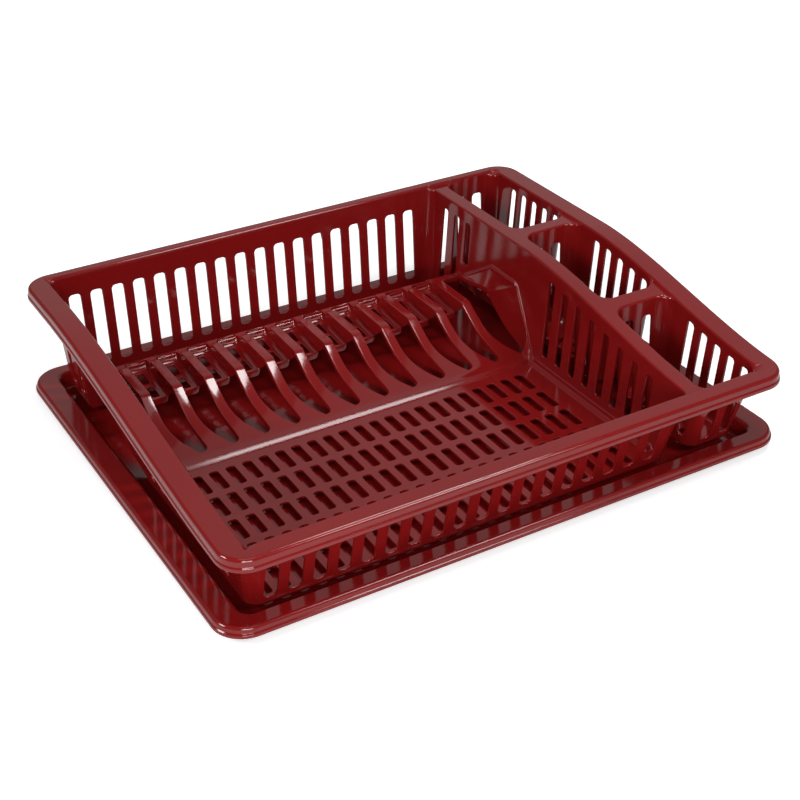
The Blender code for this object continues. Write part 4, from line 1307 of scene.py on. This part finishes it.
def only_for_camera(tree, seen, otherwise):
    """Mixes two shaders: one for what the camera sees directly, the other for every other ray."""
    path = add(tree, "ShaderNodeLightPath")
    mix = add(tree, "ShaderNodeMixShader")
    tree.links.new(path.outputs["Is Camera Ray"], mix.inputs[0])
    tree.links.new(otherwise, mix.inputs[1])
    tree.links.new(seen, mix.inputs[2])
    return mix.outputs[0]


def white_floor():
    """Pale and matt. For the camera it glows, more so far out, so that it's white but keeps the shadow."""
    material = bpy.data.materials.new("white sweep")
    material.use_nodes = True
    tree = material.node_tree
    shader = tree.nodes["Principled BSDF"]
    shader.inputs["Base Color"].default_value = FLOOR_WHITE
    shader.inputs["Roughness"].default_value = 0.9
    shader.inputs["Specular IOR Level"].default_value = 0
    glow = add(tree, "ShaderNodeEmission")
    place = add(tree, "ShaderNodeTexCoord")
    away = add(tree, "ShaderNodeVectorMath", operation="LENGTH")
    tree.links.new(place.outputs["Object"], away.inputs[0])
    strength = remap(tree, away.outputs["Value"], GLOW_NEAR, GLOW_FAR, GLOW_LEAST, 1)
    tree.links.new(strength, glow.inputs["Strength"])
    both = add(tree, "ShaderNodeAddShader")
    tree.links.new(shader.outputs[0], both.inputs[0])
    tree.links.new(glow.outputs[0], both.inputs[1])
    surface = only_for_camera(tree, both.outputs[0], shader.outputs[0])
    tree.links.new(surface, tree.nodes["Material Output"].inputs["Surface"])
    return material


floor.data.materials.append(white_floor())

# %% World
world = bpy.data.worlds.new("studio")
bpy.context.scene.world = world
world.use_nodes = True
tree = world.node_tree
dim, white = tree.nodes["Background"], add(tree, "ShaderNodeBackground")
for background, strength in ((dim, ROOM_LIGHT), (white, 1)):
    background.inputs["Color"].default_value = PURE_WHITE
    background.inputs["Strength"].default_value = strength
surface = only_for_camera(tree, white.outputs[0], dim.outputs[0])
tree.links.new(surface, tree.nodes["World Output"].inputs["Surface"])
print("world:", world.name, "with strength", ROOM_LIGHT)


# %% Lamps
def softbox(name, place, aim, size, power):
    """A flat lamp that faces a point."""
    lamp = added(bpy.ops.object.light_add, name, type="AREA", location=place)
    lamp.data.shape = "RECTANGLE"
    lamp.data.size, lamp.data.size_y = size
    lamp.data.energy = power
    lamp.rotation_mode = "QUATERNION"
    lamp.rotation_quaternion = (Vector(aim) - Vector(place)).to_track_quat("-Z", "Y")


softbox("top box", (-0.15, -0.4, 1.7), (0, 0, 0), (0.9, 0.9), 3)
softbox("front key", (0.7, -1.4, 1.2), (0, 0, 0.05), (0.5, 0.5), 9)
softbox("edge light", (-0.9, -1.5, 1.2), (0, 0, 0.05), (0.25, 0.25), 4)
softbox("left key", (-1.6, 0.2, 1.0), (0, 0, 0.05), (0.5, 0.5), 14)
softbox("low front", (-0.45, -0.95, 0.34), (0, -0.1, 0.04), (0.5, 0.25), 5)
softbox("back screen", (0.85, 1.4, 1.5), (0, 0, 0.08), (2.6, 2.2), 5.6)
softbox("window", (0.245, -0.12, 0.93), (-0.17, 0.07, 0.03), (0.13, 0.25), 2.0)
softbox("window bar", (0.43, -0.225, 0.93), (0, 0.07, 0.03), (0.25, 0.04), 1.2)
bpy.context.scene.view_settings.view_transform = "Standard"
